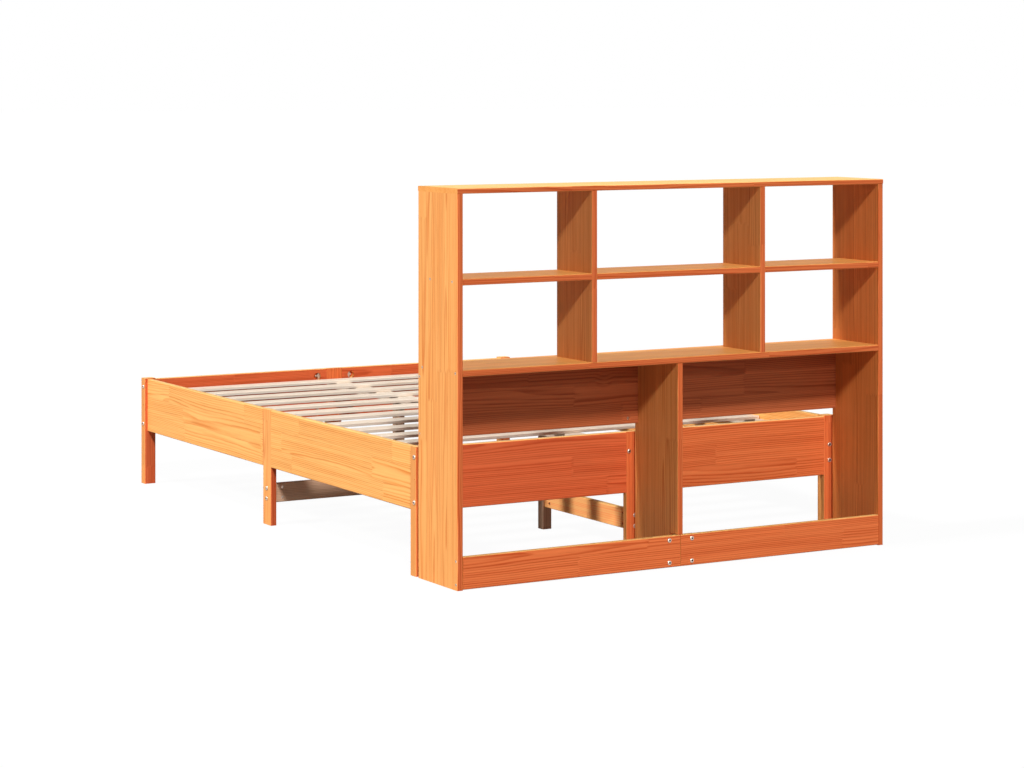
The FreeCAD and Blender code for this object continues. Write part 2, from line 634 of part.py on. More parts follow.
def cross_board(end, side):
    """Half of the head or foot board, between a corner leg and the centre leg."""
    _, low_y, board_middle, _, _ = FRAME_ENDS[end]
    half = board("%s_%s_board" % (end, side), (low_x(side, "half_mid_leg", "leg_inner"), low_y, "rail_bottom"),
                 ("leg_inner - half_mid_leg", "rail_thickness", "rail_height"), "x")
    for index, z in enumerate(CORNER_BOLTS, start=1):
        for label, end_face, way in (("leg", "leg_inner", "inward"), ("centre", "half_mid_leg", "outward")):
            axis = INWARD[side] if way == "inward" else OUTWARD[side]
            nut_pocket(half, "%s_%d" % (label, index), mirrored(side, end_face), axis, z,
                       POCKET_WAY[end], (BOARD_INNER_FACE[end], board_middle))


def half_rail(end, side):
    """Half of a side rail, between a corner leg and the mid leg."""
    low_y = {"head": "head_leg_end", "foot": "mid_leg_foot"}[end]
    rail = board("%s_%s_rail" % (end, side), (low_x(side, "rail_inner", "rail_outer"), low_y, "rail_bottom"),
                 ("rail_thickness", "mid_leg_head - head_leg_end", "rail_height"), "y")
    leg_face = FRAME_ENDS[end][3]
    mid_face = {"head": "mid_leg_head", "foot": "mid_leg_foot"}[end]
    faces = (mirrored(side, "rail_inner"), mirrored(side, "rail_middle"))
    for index, z in enumerate(RAIL_BOLTS, start=1):
        nut_pocket(rail, "leg_%d" % index, leg_face, TOWARDS_FOOT[end], z, OUTWARD[side], faces)
    for index, z in enumerate(CORNER_BOLTS, start=1):
        nut_pocket(rail, "mid_%d" % index, mid_face, FRAME_ENDS[end][4], z, OUTWARD[side], faces)
    for index, y in enumerate(ledge_screw_places(end), start=1):
        bore(rail, "ledge_screw_%d" % index, (mirrored(side, "rail_inner"), y, "ledge_axis"), OUTWARD[side],
             "screw_diameter", "ledge_screw_length - ledge_width")


def mid_leg(side):
    leg = board(side + "_mid_leg", (low_x(side, "rail_inner", "rail_outer"), "mid_leg_head", "0"),
                ("rail_thickness", "mid_leg_width", "rail_level"), "z")
    for index, z in enumerate(CORNER_BOLTS, start=1):
        bore(leg, "rod_%d" % index, (mirrored(side, "rail_middle"), "mid_leg_head", z), "+y", "bolt_hole",
             "mid_leg_width")
    for index, z in enumerate(BEAM_BOLTS, start=1):
        bore(leg, "beam_bolt_%d" % index, (mirrored(side, "rail_outer"), "frame_middle", z), INWARD[side],
             "bolt_hole", "rail_thickness")


def centre_leg(end):
    low_y = FRAME_ENDS[end][1]
    leg = board(end + "_centre_leg", ("-half_mid_leg", low_y, "0"),
                ("mid_leg_width", "rail_thickness", "rail_level"), "z")
    for index, z in enumerate(CORNER_BOLTS, start=1):
        bore(leg, "rod_%d" % index, ("-half_mid_leg", FRAME_ENDS[end][2], z), "+x", "bolt_hole",
             "mid_leg_width")
    for index, z in enumerate(BEAM_BOLTS, start=1):
        bore(leg, "beam_bolt_%d" % index, ("0", BOARD_OUTER_FACE[end], z), TOWARDS_FOOT[end], "bolt_hole",
             "rail_thickness")
    for index, x in enumerate(SUPPORT_BOLTS, start=1):
        bore(leg, "support_bolt_%d" % index, (x, BOARD_OUTER_FACE[end], "support_axis"), TOWARDS_FOOT[end],
             "bolt_hole", "rail_thickness")


def barrel_joint(body, label, end_point, axis, barrel_face, barrel_axis, depth):
    """A bolt hole in the end of a board and the cross hole of the barrel nut it screws into."""
    bore(body, label + "_hole", end_point, axis, "bolt_hole", "barrel_reach")
    bore(body, label + "_barrel", barrel_face, barrel_axis, "barrel_diameter", depth)


def cross_beam():
    beam = board("cross_beam", ("-rail_inner", "frame_middle - half_beam", "beam_level"),
                 ("2 * rail_inner", "rail_thickness", "beam_height"), "x")
    for side in SIDES:
        for index, z in enumerate(BEAM_BOLTS, start=1):
            barrel_joint(beam, "%s_%d" % (side, index), (mirrored(side, "rail_inner"), "frame_middle", z),
                         INWARD[side], (mirrored(side, "rail_inner - barrel_setback"),
                                        "frame_middle - half_beam", z), "+y", "barrel_hole_depth")


LONG_BEAM_ENDS = {"head": ("well_head", "head_post_near"), "foot": ("foot_post_near", "well_foot")}


def long_beam(end):
    """Ties the centre leg to the post under the slat support."""
    low_y, high_y = LONG_BEAM_ENDS[end]
    beam = board(end + "_long_beam", ("-half_beam", low_y, "beam_level"),
                 ("rail_thickness", "post_distance", "beam_height"), "y")
    for index, z in enumerate(BEAM_BOLTS, start=1):
        for label, face, axis in (("low", low_y, "+y"), ("high", high_y, "-y")):
            barrel_y = "%s %s barrel_setback" % (face, axis[0])
            barrel_joint(beam, "%s_%d" % (label, index), ("0", face, z), axis,
                         ("-half_beam", barrel_y, z), "+x", "barrel_hole_depth")


POST_FACES = {
    # post's low Y, the face its bolts go in by, the way they run
    "head": ("head_post_near", "head_post_far", "-y"),
    "foot": ("foot_post_far", "foot_post_far", "+y"),
}


def post(end):
    low_y, bolt_face, axis = POST_FACES[end]
    upright = board(end + "_post", ("-half_post", low_y, "0"),
                    ("post_size", "post_size", "support_bottom"), "z")
    for index, z in enumerate(BEAM_BOLTS, start=1):
        bore(upright, "beam_bolt_%d" % index, ("0", bolt_face, z), axis, "bolt_hole", "post_size")
    bore(upright, "screw", ("0", low_y + " + half_post", "support_bottom"), "-z", "screw_diameter",
         "post_screw_length - support_height")


def slat_support():
    support = board("centre_slat_support", ("-half_support", "well_head", "support_bottom"),
                    ("support_width", "well_length", "support_height"), "y")
    for end, face, axis in (("head", "well_head", "+y"), ("foot", "well_foot", "-y")):
        for index, x in enumerate(SUPPORT_BOLTS, start=1):
            barrel_y = "%s %s barrel_setback" % (face, axis[0])
            barrel_joint(support, "%s_%d" % (end, index), (x, face, "support_axis"), axis,
                         (x, barrel_y, "support_bottom"), "+z", "support_height / 2 + barrel_length / 2")
        sunk_screw_hole(support, end + "_post_screw", ("0", POST_FACES[end][0] + " + half_post", "slat_under"),
                        "-z", "screw_head", "support_height")


# ---------------------------------------------------------------- slats and ledges

def slat_middle(index):
    return "slat_first + %d * slat_pitch" % index


def slats_over(end):
    """Indices of the slats that lie on one end's ledges."""
    count = int(number("slat_count"))
    middle = number("frame_middle")
    over_head = [n for n in range(count) if number("slat_first") + n * number("slat_pitch") < middle]
    over_foot = [n for n in range(count) if n not in over_head]
    return over_head if end == "head" else over_foot


def ledge_screw_places(end):
    """Midway between every other pair of slats on the ledge."""
    held = slats_over(end)
    return ["slat_first + %g * slat_pitch" % (n + 0.5) for n in held[:-1:2]]


def ledge(end, side):
    low_y = {"head": "ledge_head", "foot": "frame_middle"}[end]
    batten = board("%s_%s_ledge" % (end, side),
                   (low_x(side, "ledge_inner", "rail_inner"), low_y, "ledge_bottom"),
                   ("ledge_width", "frame_middle - ledge_head", "ledge_height"), "y", radius="slat_radius")
    for n in slats_over(end):
        bore(batten, "slat_screw_%d" % (n + 1), (mirrored(side, "ledge_middle"), slat_middle(n), "slat_under"),
             "-z", "screw_diameter", "slat_screw_length - slat_thickness")
    for index, y in enumerate(ledge_screw_places(end), start=1):
        sunk_screw_hole(batten, "rail_screw_%d" % index, (mirrored(side, "ledge_inner"), y, "ledge_axis"),
                        OUTWARD[side], "screw_head", "ledge_width")


def slats():
    """All slats are one node: the same rounded strip at an even pitch."""
    strip = board("slat", ("-slat_half", "-slat_width / 2", "0"),
                  ("2 * slat_half", "slat_width", "slat_thickness"), "x", radius="slat_radius", node=False)
    for side in SIDES:
        sunk_screw_hole(strip, side + "_screw", (mirrored(side, "ledge_middle"), "0", "slat_thickness"), "-z",
                        "slat_screw_head", "slat_thickness")
    count = int(number("slat_count"))
    group("slats", strip,
          [(("-slat_half", slat_middle(n) + " - slat_width / 2", "slat_under"), "+z") for n in range(count)])


# ---------------------------------------------------------------- fastener groups

def wood_fasteners():
    panel_screw = flush_screw("panel_screw", "panel_screw_length")
    group("panel_screws", panel_screw,
          [((mirrored(side, "half_width"), y, z), INWARD[side]) for side in SIDES for y, z in PANEL_SCREWS])

    dowel = whole("Cylinder", "upright_dowel", Radius="dowel_diameter / 2", Height="dowel_length")
    high = "panel_height - dowel_upright_depth"
    low = "main_shelf_level - dowel_shelf_depth"
    spots = [(mirrored(side, x), y, z) for side in SIDES for y in SHELF_HOLES
             for x, z in (("panel_middle", high), ("divider_middle", high), ("divider_middle", low))]
    spots += [("0", y, "main_under - dowel_upright_depth") for y in SHELF_HOLES]
    group("upright_dowels", dowel, [(spot, "+z") for spot in spots])

    through = whole("Cylinder", "shelf_dowel", Radius="dowel_diameter / 2",
                    Height="panel_thickness + 2 * shelf_dowel_depth")
    group("shelf_dowels", through,
          [((mirrored(side, "divider_outer + shelf_dowel_depth"), y, "shelf_middle"), INWARD[side])
           for side in SIDES for y in SHELF_HOLES])

    slat_screw = flush_screw("slat_screw", "slat_screw_length", head="slat_screw_head")
    group("slat_screws", slat_screw,
          [((mirrored(side, "ledge_middle"), slat_middle(n), "slat_level"), "-z")
           for side in SIDES for n in range(int(number("slat_count")))])

    ledge_screw = flush_screw("ledge_screw", "ledge_screw_length")
    group("ledge_screws", ledge_screw,
          [((mirrored(side, "ledge_inner"), y, "ledge_axis"), OUTWARD[side])
           for side in SIDES for end in ("head", "foot") for y in ledge_screw_places(end)])

    post_screw = flush_screw("post_screw", "post_screw_length")
    group("post_screws", post_screw,
          [(("0", POST_FACES[end][0] + " + half_post", "slat_under"), "-z") for end in ("head", "foot")])


def kick_fasteners():
    spots = [(mirrored(side, "kick_bolt_offset"), z) for side in SIDES for z in KICK_HOLES]
    bolt = button_bolt("kick_bolt", "panel_thickness + insert_length")
    group("kick_bolts", bolt, [((x, "back_face", z), "+y") for x, z in spots])
    group("kick_inserts", threaded_insert(), [((x, "kick_front", z), "+y") for x, z in spots])


def headrest_studs(barrel):
    stud = whole("Cylinder", "headrest_stud", Radius="bolt_diameter / 2",
                 Height="panel_thickness + 2 * panel_barrel_reach")
    group("headrest_studs", stud,
          [(("-half_divider - panel_barrel_reach", "headrest_middle", z), "+x") for z in HEADREST_HOLES])
    return [((mirrored(side, "half_divider + panel_barrel_setback"), "headrest_middle", z), "+x", "+y")
            for side in SIDES for z in HEADREST_HOLES]


def knock_down_joints():
    """Bolts and rods of the legs, with the crescent washer and nut in each pocket."""
    board_bolt = button_bolt("leg_board_bolt", "leg_width + bolt_reach")
    rail_bolt = button_bolt("leg_rail_bolt", "leg_depth + bolt_reach")
    rod = whole("Cylinder", "through_rod", Radius="bolt_diameter / 2", Height="mid_leg_width + 2 * bolt_reach")
    board_bolts, rail_bolts, rods, pockets = [], [], [], []
    for end in ("head", "foot"):
        middle_y = FRAME_ENDS[end][2]
        for side in SIDES:
            for z in CORNER_BOLTS:
                board_bolts.append(((mirrored(side, "half_width"), middle_y, z), INWARD[side]))
                pockets.append((mirrored(side, "leg_inner - pocket_setback"), middle_y, z, INWARD[side],
                                POCKET_WAY[end]))
                pockets.append((mirrored(side, "half_mid_leg + pocket_setback"), middle_y, z, OUTWARD[side],
                                POCKET_WAY[end]))
                pockets.append((mirrored(side, "rail_middle"), MID_POCKETS[end], z, FRAME_ENDS[end][4],
                                OUTWARD[side]))
            for z in RAIL_BOLTS:
                rail_x = mirrored(side, "rail_middle")
                rail_bolts.append(((rail_x, LEG_OUTER_FACE[end], z), TOWARDS_FOOT[end]))
                leg_face = "%s %s pocket_setback" % (FRAME_ENDS[end][3], TOWARDS_FOOT[end][0])
                pockets.append((rail_x, leg_face, z, TOWARDS_FOOT[end], OUTWARD[side]))
        for z in CORNER_BOLTS:
            rods.append((("-half_mid_leg - bolt_reach", middle_y, z), "+x"))
    for side in SIDES:
        for z in CORNER_BOLTS:
            rods.append(((mirrored(side, "rail_middle"), "mid_leg_head - bolt_reach", z), "+y"))
    group("leg_board_bolts", board_bolt, board_bolts)
    group("leg_rail_bolts", rail_bolt, rail_bolts)
    group("through_rods", rod, rods)
    group("crescent_washers", crescent_washer(), [((x, y, z), way, out) for x, y, z, way, out in pockets])
    nuts = []
    for x, y, z, way, _ in pockets:
        point = [x, y, z]
        along = {"x": 0, "y": 1}[way[1]]
        point[along] = "%s - %s1 * washer_flat" % (point[along], way[0])
        nuts.append((tuple(point), way))
    group("hexagon_nuts", hexagon_nut(), nuts)


def beam_fasteners(barrels):
    """Bolts of the cross beam, long beams and slat support, and every barrel nut."""
    beam_bolt = button_bolt("beam_bolt", "rail_thickness + barrel_reach")
    post_bolt = button_bolt("post_bolt", "post_size + barrel_reach")
    beam_bolts, post_bolts = [], []
    for z in BEAM_BOLTS:
        for side in SIDES:
            beam_bolts.append(((mirrored(side, "rail_outer"), "frame_middle", z), INWARD[side]))
            barrels.append(((mirrored(side, "rail_inner - barrel_setback"), "frame_middle", z), "+x", "+y"))
        for end in ("head", "foot"):
            beam_bolts.append((("0", BOARD_OUTER_FACE[end], z), TOWARDS_FOOT[end]))
            low_y, high_y = LONG_BEAM_ENDS[end]
            barrels.append((("0", low_y + " + barrel_setback", z), "+y", "+x"))
            barrels.append((("0", high_y + " - barrel_setback", z), "+y", "+x"))
            post_bolts.append((("0", POST_FACES[end][1], z), POST_FACES[end][2]))
    for x in SUPPORT_BOLTS:
        for end in ("head", "foot"):
            beam_bolts.append(((x, BOARD_OUTER_FACE[end], "support_axis"), TOWARDS_FOOT[end]))
        barrels.append(((x, "well_head + barrel_setback", "support_axis"), "+y", "+z"))
        barrels.append(((x, "well_foot - barrel_setback", "support_axis"), "+y", "+z"))
    group("beam_bolts", beam_bolt, beam_bolts)
    group("post_bolts", post_bolt, post_bolts)


# ---------------------------------------------------------------- the whole bed

def build_bookcase():
    top_board()
    main_shelf()
    middle_shelf()
    lower_divider()
    kick_splice()
    for side in SIDES:
        side_panel(side)
        upper_divider(side)
        outer_shelf(side)
        headrest_panel(side)
        kick_board(side)


def build_frame():
    for end in ("head", "foot"):
        centre_leg(end)
        long_beam(end)
        post(end)
        for side in SIDES:
            corner_leg(end, side)
            cross_board(end, side)
            half_rail(end, side)
            ledge(end, side)
    for side in SIDES:
        mid_leg(side)
    cross_beam()
    slat_support()
    slats()


def build_fasteners():
    barrel = barrel_nut()
    wood_fasteners()
    kick_fasteners()
    barrels = headrest_studs(barrel)
    knock_down_joints()
    beam_fasteners(barrels)
    group("barrel_nuts", barrel, barrels)


def check_document():
    for item in doc.Objects:
        state = [word for word in item.State if word in ("Invalid", "Error")]
        if state:
            raise RuntimeError("%s is %s" % (item.Name, ", ".join(state)))
    for node in nodes:
        if node.Shape.isNull() or not node.Shape.isValid():
            raise RuntimeError(node.Label + " has no valid shape")


def export_nodes():
    os.makedirs("parts", exist_ok=True)
    for node in nodes:
        node.Shape.exportStep(os.path.join("parts", node.Label + ".step"))
    print("%d nodes written" % len(nodes))


sheets = fill_sheets()
build_bookcase()
build_frame()
build_fasteners()
doc.recompute()
check_document()
export_nodes()
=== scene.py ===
import math

import bmesh
import bpy
from bpy.props import FloatProperty, FloatVectorProperty, PointerProperty
from mathutils import Matrix, Vector


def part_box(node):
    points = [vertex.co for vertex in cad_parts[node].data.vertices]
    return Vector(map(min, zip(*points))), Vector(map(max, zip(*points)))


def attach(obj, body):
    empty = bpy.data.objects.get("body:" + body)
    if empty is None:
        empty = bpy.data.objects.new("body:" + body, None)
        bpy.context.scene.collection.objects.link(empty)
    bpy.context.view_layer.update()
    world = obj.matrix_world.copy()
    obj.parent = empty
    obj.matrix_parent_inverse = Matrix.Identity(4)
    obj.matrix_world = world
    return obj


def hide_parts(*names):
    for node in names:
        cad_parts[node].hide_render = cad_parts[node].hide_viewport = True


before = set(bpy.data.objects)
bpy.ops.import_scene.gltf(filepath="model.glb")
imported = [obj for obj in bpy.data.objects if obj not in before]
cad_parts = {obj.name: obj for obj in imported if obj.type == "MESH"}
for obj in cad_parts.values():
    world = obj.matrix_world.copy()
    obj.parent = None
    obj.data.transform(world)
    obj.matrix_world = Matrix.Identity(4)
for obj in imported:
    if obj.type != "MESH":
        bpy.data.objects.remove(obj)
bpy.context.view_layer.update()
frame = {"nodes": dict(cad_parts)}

bl_info = {
    "name": "Bookcase headboard bed",
    "version": (1, 0, 0),
    "blender": (4, 5, 0),
    "location": "3D View > Sidebar > Bed",
    "description": "Wood finishes, fittings and studio for a knock-down pine bed with a bookcase headboard",
    "category": "Object",
}

MM = 0.001
TURN = 2 * math.pi
AXES = (Vector((1, 0, 0)), Vector((0, 1, 0)), Vector((0, 0, 1)))

# Points closer than these are the same point, welded in a finished mesh, or on the same ring.
SAME_POINT = 0.001 * MM
WELD = 0.002 * MM
ON_RING = 0.01 * MM

# Boards by the finish they carry; every other property of a board is read from its own box.
BOOKCASE = ("left_side_panel", "left_shelf", "middle_shelf", "right_shelf", "main_shelf", "kick_splice")
# dividers inside the bookcase: darker colours, which are painted shade
SHADED_INNER = ("left_upper_divider", "right_upper_divider", "lower_divider")
# right side panel: darker colours than the left panel's, which are painted shade
SIDE = ("right_side_panel",)
# headrest panels: the darkest colours, which are painted shade under the main shelf
SHADED_HEADREST = ("left_headrest_panel", "right_headrest_panel")
LEGS = (
    "head_left_leg", "head_right_leg", "foot_right_leg",
    "right_mid_leg", "head_centre_leg", "foot_centre_leg",
)
# legs that stand in shade, whose faces across the bed carry the boards' deeper red, which is painted shade
SHADED_LEGS = ("foot_left_leg", "left_mid_leg")
FRAME = (
    "head_left_rail", "head_right_rail", "foot_left_rail", "foot_right_rail",
    "head_right_board", "left_kick_board", "right_kick_board", "top_board",
)
# long beams: a redder copy of the frame colours, which is painted warm light under the slats
PAINTED_LIGHT_BEAMS = ("head_long_beam", "foot_long_beam")
# boards whose faces across the bed carry a deeper red, which is painted shade
SHADED_BOARDS = ("head_left_board", "foot_left_board", "foot_right_board")
BARE = (
    "centre_slat_support", "head_left_ledge", "head_right_ledge", "foot_left_ledge", "foot_right_ledge",
)
RAW = ("head_post", "foot_post", "cross_beam")
BOLTS = ("kick_bolts", "leg_board_bolts", "leg_rail_bolts", "beam_bolts", "post_bolts")
SCREWS = ("panel_screws", "slat_screws", "ledge_screws", "post_screws")
PLAIN_STEEL = ("crescent_washers", "kick_inserts", "headrest_studs")
DOWELS = ("shelf_dowels", "upright_dowels")

# Stains of each group, by their names in BedWood: whole board, faces across the bed, upward faces.
# Darker colours for boards in shade and redder faces across the bed are painted shade; lighter upward faces
# are painted light, and the long beams' redder copy of the frame colours is painted warm light.
STAINS_AND_PAINTED_LIGHT = (
    (BOOKCASE, "honey", "cross", "shelf"),
    (SHADED_INNER, "inner", "cross", None),
    (SIDE, "side", "cross", None),
    (SHADED_HEADREST, "inner", "headrest", None),
    (LEGS, "honey", "cross", "pale"),
    (FRAME, "frame", "cross", "pale"),
    (SHADED_BOARDS, "frame", "board", "pale"),
    (SHADED_LEGS, "honey", "board", "pale"),
    (PAINTED_LIGHT_BEAMS, "beam", "cross", "pale"),
)


# -------- settings

def colour(name, description, default):
    return FloatVectorProperty(name=name, description=description, default=default, size=3,
                               min=0, max=1, subtype="COLOR_GAMMA")


def length(name, description, default):
    return FloatProperty(name=name, description=description, default=default, min=0,
                         unit="LENGTH", precision=5)


def factor(name, description, default, maximum=1.0):
    return FloatProperty(name=name, description=description, default=default, min=0, max=maximum,
                         subtype="FACTOR")


def camera_place(axis, default):
    return FloatProperty(name="Camera " + axis, description="Place of the camera", default=default,
                         unit="LENGTH")


class BedWood(bpy.types.PropertyGroup):
    """Colours and figure of the pine; several colours are painted light and shade"""
    honey: colour("Honey stain", "Stained pine of the bookcase between the rings", (0.97, 0.69, 0.40))
    honey_late: colour("Honey rings", "Growth rings of the bookcase", (0.87, 0.51, 0.24))
    frame: colour("Frame stain", "Stained pine of the bed frame between the rings", (0.99, 0.735, 0.43))
    frame_late: colour("Frame rings", "Growth rings of the bed frame", (0.88, 0.53, 0.23))
    # painted warm light: the long beams' redder copy of the frame colours
    beam: colour("Long beam stain", "Stained pine of the long beams between the rings", (1.0, 0.74, 0.46))
    beam_late: colour("Long beam rings", "Growth rings of the long beams", (0.98, 0.56, 0.31))
    # painted shade: darker colours for the boards inside the bookcase
    inner: colour("Inner stain", "Stained pine of the boards inside the bookcase", (0.86, 0.585, 0.33))
    inner_late: colour("Inner rings", "Growth rings of the boards inside", (0.74, 0.42, 0.20))
    # painted shade: darker colours for the right side panel than for the left
    side: colour("Right panel stain", "Stained pine of the right side panel", (0.87, 0.53, 0.28))
    side_late: colour("Right panel rings", "Growth rings of the right side panel", (0.74, 0.39, 0.17))
    # painted shade: redder, darker colours for stained faces that run across the bed
    cross: colour("Cross faces", "Stained faces that run across the bed", (0.94, 0.50, 0.28))
    cross_late: colour("Cross rings", "Growth rings on the faces across the bed", (0.78, 0.32, 0.14))
    # painted shade: a deeper red across the bed for the head left board, the foot boards and two legs
    board: colour("Board faces", "Stained faces of the boards across the frame", (0.89, 0.43, 0.25))
    board_late: colour("Board rings", "Growth rings of the boards across the frame", (0.74, 0.28, 0.13))
    # painted shade: the darkest colours, for the headrest panels under the main shelf
    headrest: colour("Headrest", "Stained pine of the headrest panels", (0.77, 0.415, 0.25))
    headrest_late: colour("Headrest rings", "Growth rings of the headrest panels", (0.61, 0.28, 0.14))
    # painted light: lighter colours on top of the shelves
    shelf: colour("Shelf faces", "Stained pine on top of the shelves", (1.0, 0.74, 0.41))
    shelf_late: colour("Shelf rings", "Growth rings on top of the shelves", (0.91, 0.57, 0.26))
    # painted light: lighter colours on top of the legs, the frame and the top board
    pale: colour("Upward faces", "Stained pine on top of the legs, the frame and the top board",
                 (0.97, 0.80, 0.50))
    pale_late: colour("Upward rings", "Growth rings on those faces", (0.93, 0.67, 0.35))
    bare: colour("Bare pine", "Unstained pine of slats and ledges", (0.90, 0.84, 0.77))
    bare_late: colour("Bare rings", "Growth rings of the unstained pine", (0.82, 0.73, 0.63))
    sawn: colour("Slat edges", "Unstained pine on the slats' edges", (1.0, 0.96, 0.90))
    sawn_late: colour("Edge rings", "Growth rings on the slats' edges", (0.96, 0.88, 0.79))
    raw: colour("Beam pine", "Unstained pine of the cross beam and posts", (0.84, 0.69, 0.575))
    raw_late: colour("Beam rings", "Growth rings of that pine", (0.72, 0.555, 0.44))
    stave_width: length("Stave width", "Width of the glued staves", 60 * MM)
    stave_length: length("Stave length", "Length of a stave between finger joints", 620 * MM)
    ring_gap: length("Ring gap", "Distance between growth rings", 4.4 * MM)
    figure: factor("Figure", "Strength of the growth rings", 0.80)
    stave_contrast: factor("Stave contrast", "Difference in tone between staves", 0.09)
    roughness: factor("Roughness", "Roughness of the matt lacquer", 0.52)
    sheen: factor("Sheen", "How much the lacquer reflects", 0.12)


class BedFittings(bpy.types.PropertyGroup):
    """Sizes and colours of the steel fittings"""
    steel: colour("Zinc", "Zinc-plated steel", (0.84, 0.76, 0.70))
    # painted shade: a dark steel colour inside the sockets and cross recesses
    recess: colour("Recess", "Shade-painted steel inside the sockets and cross recesses", (0.26, 0.21, 0.18))
    roughness: factor("Roughness", "Roughness of the plating", 0.24)
    head_height: length("Head height", "Height of a bolt's button head", 3.5 * MM)
    head_rim: length("Head rim", "Straight rim of a bolt's head", 0.7 * MM)
    socket: length("Socket", "Hexagon socket across flats", 5 * MM)
    socket_depth: length("Socket depth", "Depth of the hexagon socket", 3.2 * MM)
    thread_pitch: length("Thread pitch", "Pitch of the bolts' thread", 1 * MM)
    thread_length: length("Thread length", "Length of thread that is cut", 14 * MM)
    thread_depth: length("Thread depth", "Depth of the thread", 0.5 * MM)
    chamfer: length("Chamfer", "Chamfer on nuts and barrel nuts", 0.6 * MM)


class BedStage(bpy.types.PropertyGroup):
    """Floor, lights and camera"""
    floor: colour("Floor", "Floor as the camera sees it", (1.0, 1.0, 1.0))
    floor_bounce: factor("Floor bounce", "How much light the floor gives back", 0.28)
    shadow: factor("Floor shadow", "How much of the object's shadow the floor keeps", 0.04)
    sky: factor("Sky", "Even light from all round", 0.08, maximum=2)
    key_light: factor("Key light", "Soft light from high on the left", 0.98, maximum=4)
    back_light: factor("Back light", "Firm light from high behind the bookcase", 0.71, maximum=4)
    low_light: factor("Low light", "Faint light from low behind the bookcase", 0.12, maximum=4)
    focal: length("Focal length", "Focal length of the lens on a 36 mm wide sensor", 93.135 * MM)
    camera_x: camera_place("X", -4.2133)
    camera_y: camera_place("Y", -7.4847)
    camera_z: camera_place("Z", 1.3833)
    camera_turn: FloatProperty(name="Camera turn", description="Turn of the view from +Y towards +X",
                               default=0.52479, unit="ROTATION")
    shift_x: FloatProperty(name="Shift X", description="Sideways shift of the lens", default=-0.00515)
    shift_y: FloatProperty(name="Shift Y", description="Upward shift of the lens", default=-0.29224)


# -------- node helpers

def linear(values):
    """A colour as it is seen, turned into the light values that nodes use."""
    low = [v / 12.92 if v <= 0.04045 else ((v + 0.055) / 1.055) ** 2.4 for v in values]
    return (*low, 1.0)


def add(tree, kind, inputs=None, **settings):
    """A node with its settings made and its inputs linked or filled."""
    node = tree.nodes.new(kind)
    for name, value in settings.items():
        setattr(node, name, value)
    for key, value in (inputs or {}).items():
        if isinstance(value, bpy.types.NodeSocket):
            tree.links.new(value, node.inputs[key])
        else:
            node.inputs[key].default_value = value
    return node


def calc(tree, operation, *values, clamp=False):
    node = add(tree, "ShaderNodeMath", dict(enumerate(values)), operation=operation, use_clamp=clamp)
    return node.outputs[0]


def combine(tree, x=0.0, y=0.0, z=0.0):
    return add(tree, "ShaderNodeCombineXYZ", {0: x, 1: y, 2: z}).outputs[0]


def vector(tree, operation, *values):
    node = add(tree, "ShaderNodeVectorMath", dict(enumerate(values)), operation=operation)
    return node.outputs[0]


def ramp(tree, value, low, high, start=0.0, end=1.0):
    """A soft step from start to end while value goes from low to high."""
    node = add(tree, "ShaderNodeMapRange", {"Value": value, "From Min": low, "From Max": high,
                                            "To Min": start, "To Max": end},
               interpolation_type="SMOOTHSTEP")
    return node.outputs["Result"]


def noise(tree, place, scale=1.0, detail=2.0, roughness=0.5):
    node = add(tree, "ShaderNodeTexNoise", {"Vector": place, "Scale": scale, "Detail": detail,
                                            "Roughness": roughness})
    return node.outputs[0]


def swing(tree, value, reach):
    """How far value lies from 0.5, times reach."""
    return calc(tree, "MULTIPLY", calc(tree, "SUBTRACT", value, 0.5), reach)


def stretched(tree, place, scale, shift):
    """A place scaled along each axis, then shifted."""
    return vector(tree, "ADD", vector(tree, "MULTIPLY", place, scale), shift)


def blend(tree, amount, first, second, how="MIX"):
    node = add(tree, "ShaderNodeMix", {0: amount, 6: first, 7: second}, data_type="RGBA", blend_type=how)
    return node.outputs[2]


def sockets(kind, *labels):
    return tuple((label, kind) for label in labels)


def put_out(tree, made, **values):
    for label, value in values.items():
        tree.links.new(value, made.inputs[label])


def new_group(name, inputs, outputs):
    """An empty node group with its sockets; returns the tree and its two end nodes."""
    tree = bpy.data.node_groups.new(name, "ShaderNodeTree")
    for label, kind in inputs:
        tree.interface.new_socket(name=label, in_out="INPUT", socket_type="NodeSocket" + kind)
    for label, kind in outputs:
        tree.interface.new_socket(name=label, in_out="OUTPUT", socket_type="NodeSocket" + kind)
    return tree, tree.nodes.new("NodeGroupInput"), tree.nodes.new("NodeGroupOutput")


def new_material(name):
    """A material with a Principled BSDF; returns material, tree and shader."""
    material = bpy.data.materials.new(name)
    material.use_nodes = True
    return material, material.node_tree, material.node_tree.nodes["Principled BSDF"]


def give(piece, material):
    """Put one material on the whole of a piece."""
    slots = piece.material_slots
    if not slots:
        piece.data.materials.append(material)
    for item in slots:
        item.material = material


# -------- pine

# What the figure of the pine hands on to its colour.
FEATURES = ("Ring", "Fibre", "Streak", "Tone", "Knot", "Seam")
# Finger joints: width of a tooth's flank, its length per width, and the rows' stagger in stave lengths.
TOOTH_FLANK = 2.5 * MM
TOOTH_SLOPE = 4.0
ROW_STAGGER = 7.0
# A seam is full up to the first distance from the edge and gone at the second.
ROW_SEAM = (0.15 * MM, 0.5 * MM)
END_SEAM = (0.2 * MM, 0.8 * MM)
# Knots: cells per metre, step between boards, share of cells without one, edge and reach in cells, pull.
KNOT_CELLS = 5.0
KNOT_STEP = 3.7
KNOT_FREE = 0.92
KNOT_EDGE = (0.012, 0.04)
KNOT_REACH = 0.22
KNOT_PULL = 0.006
# The pith's place across a stave, in stave widths, and its depth under the face, in metres.
PITH_SPREAD = 3.2
PITH_START = -1.1
PITH_DEPTH_SPREAD = 0.06
PITH_DEPTH = 0.012
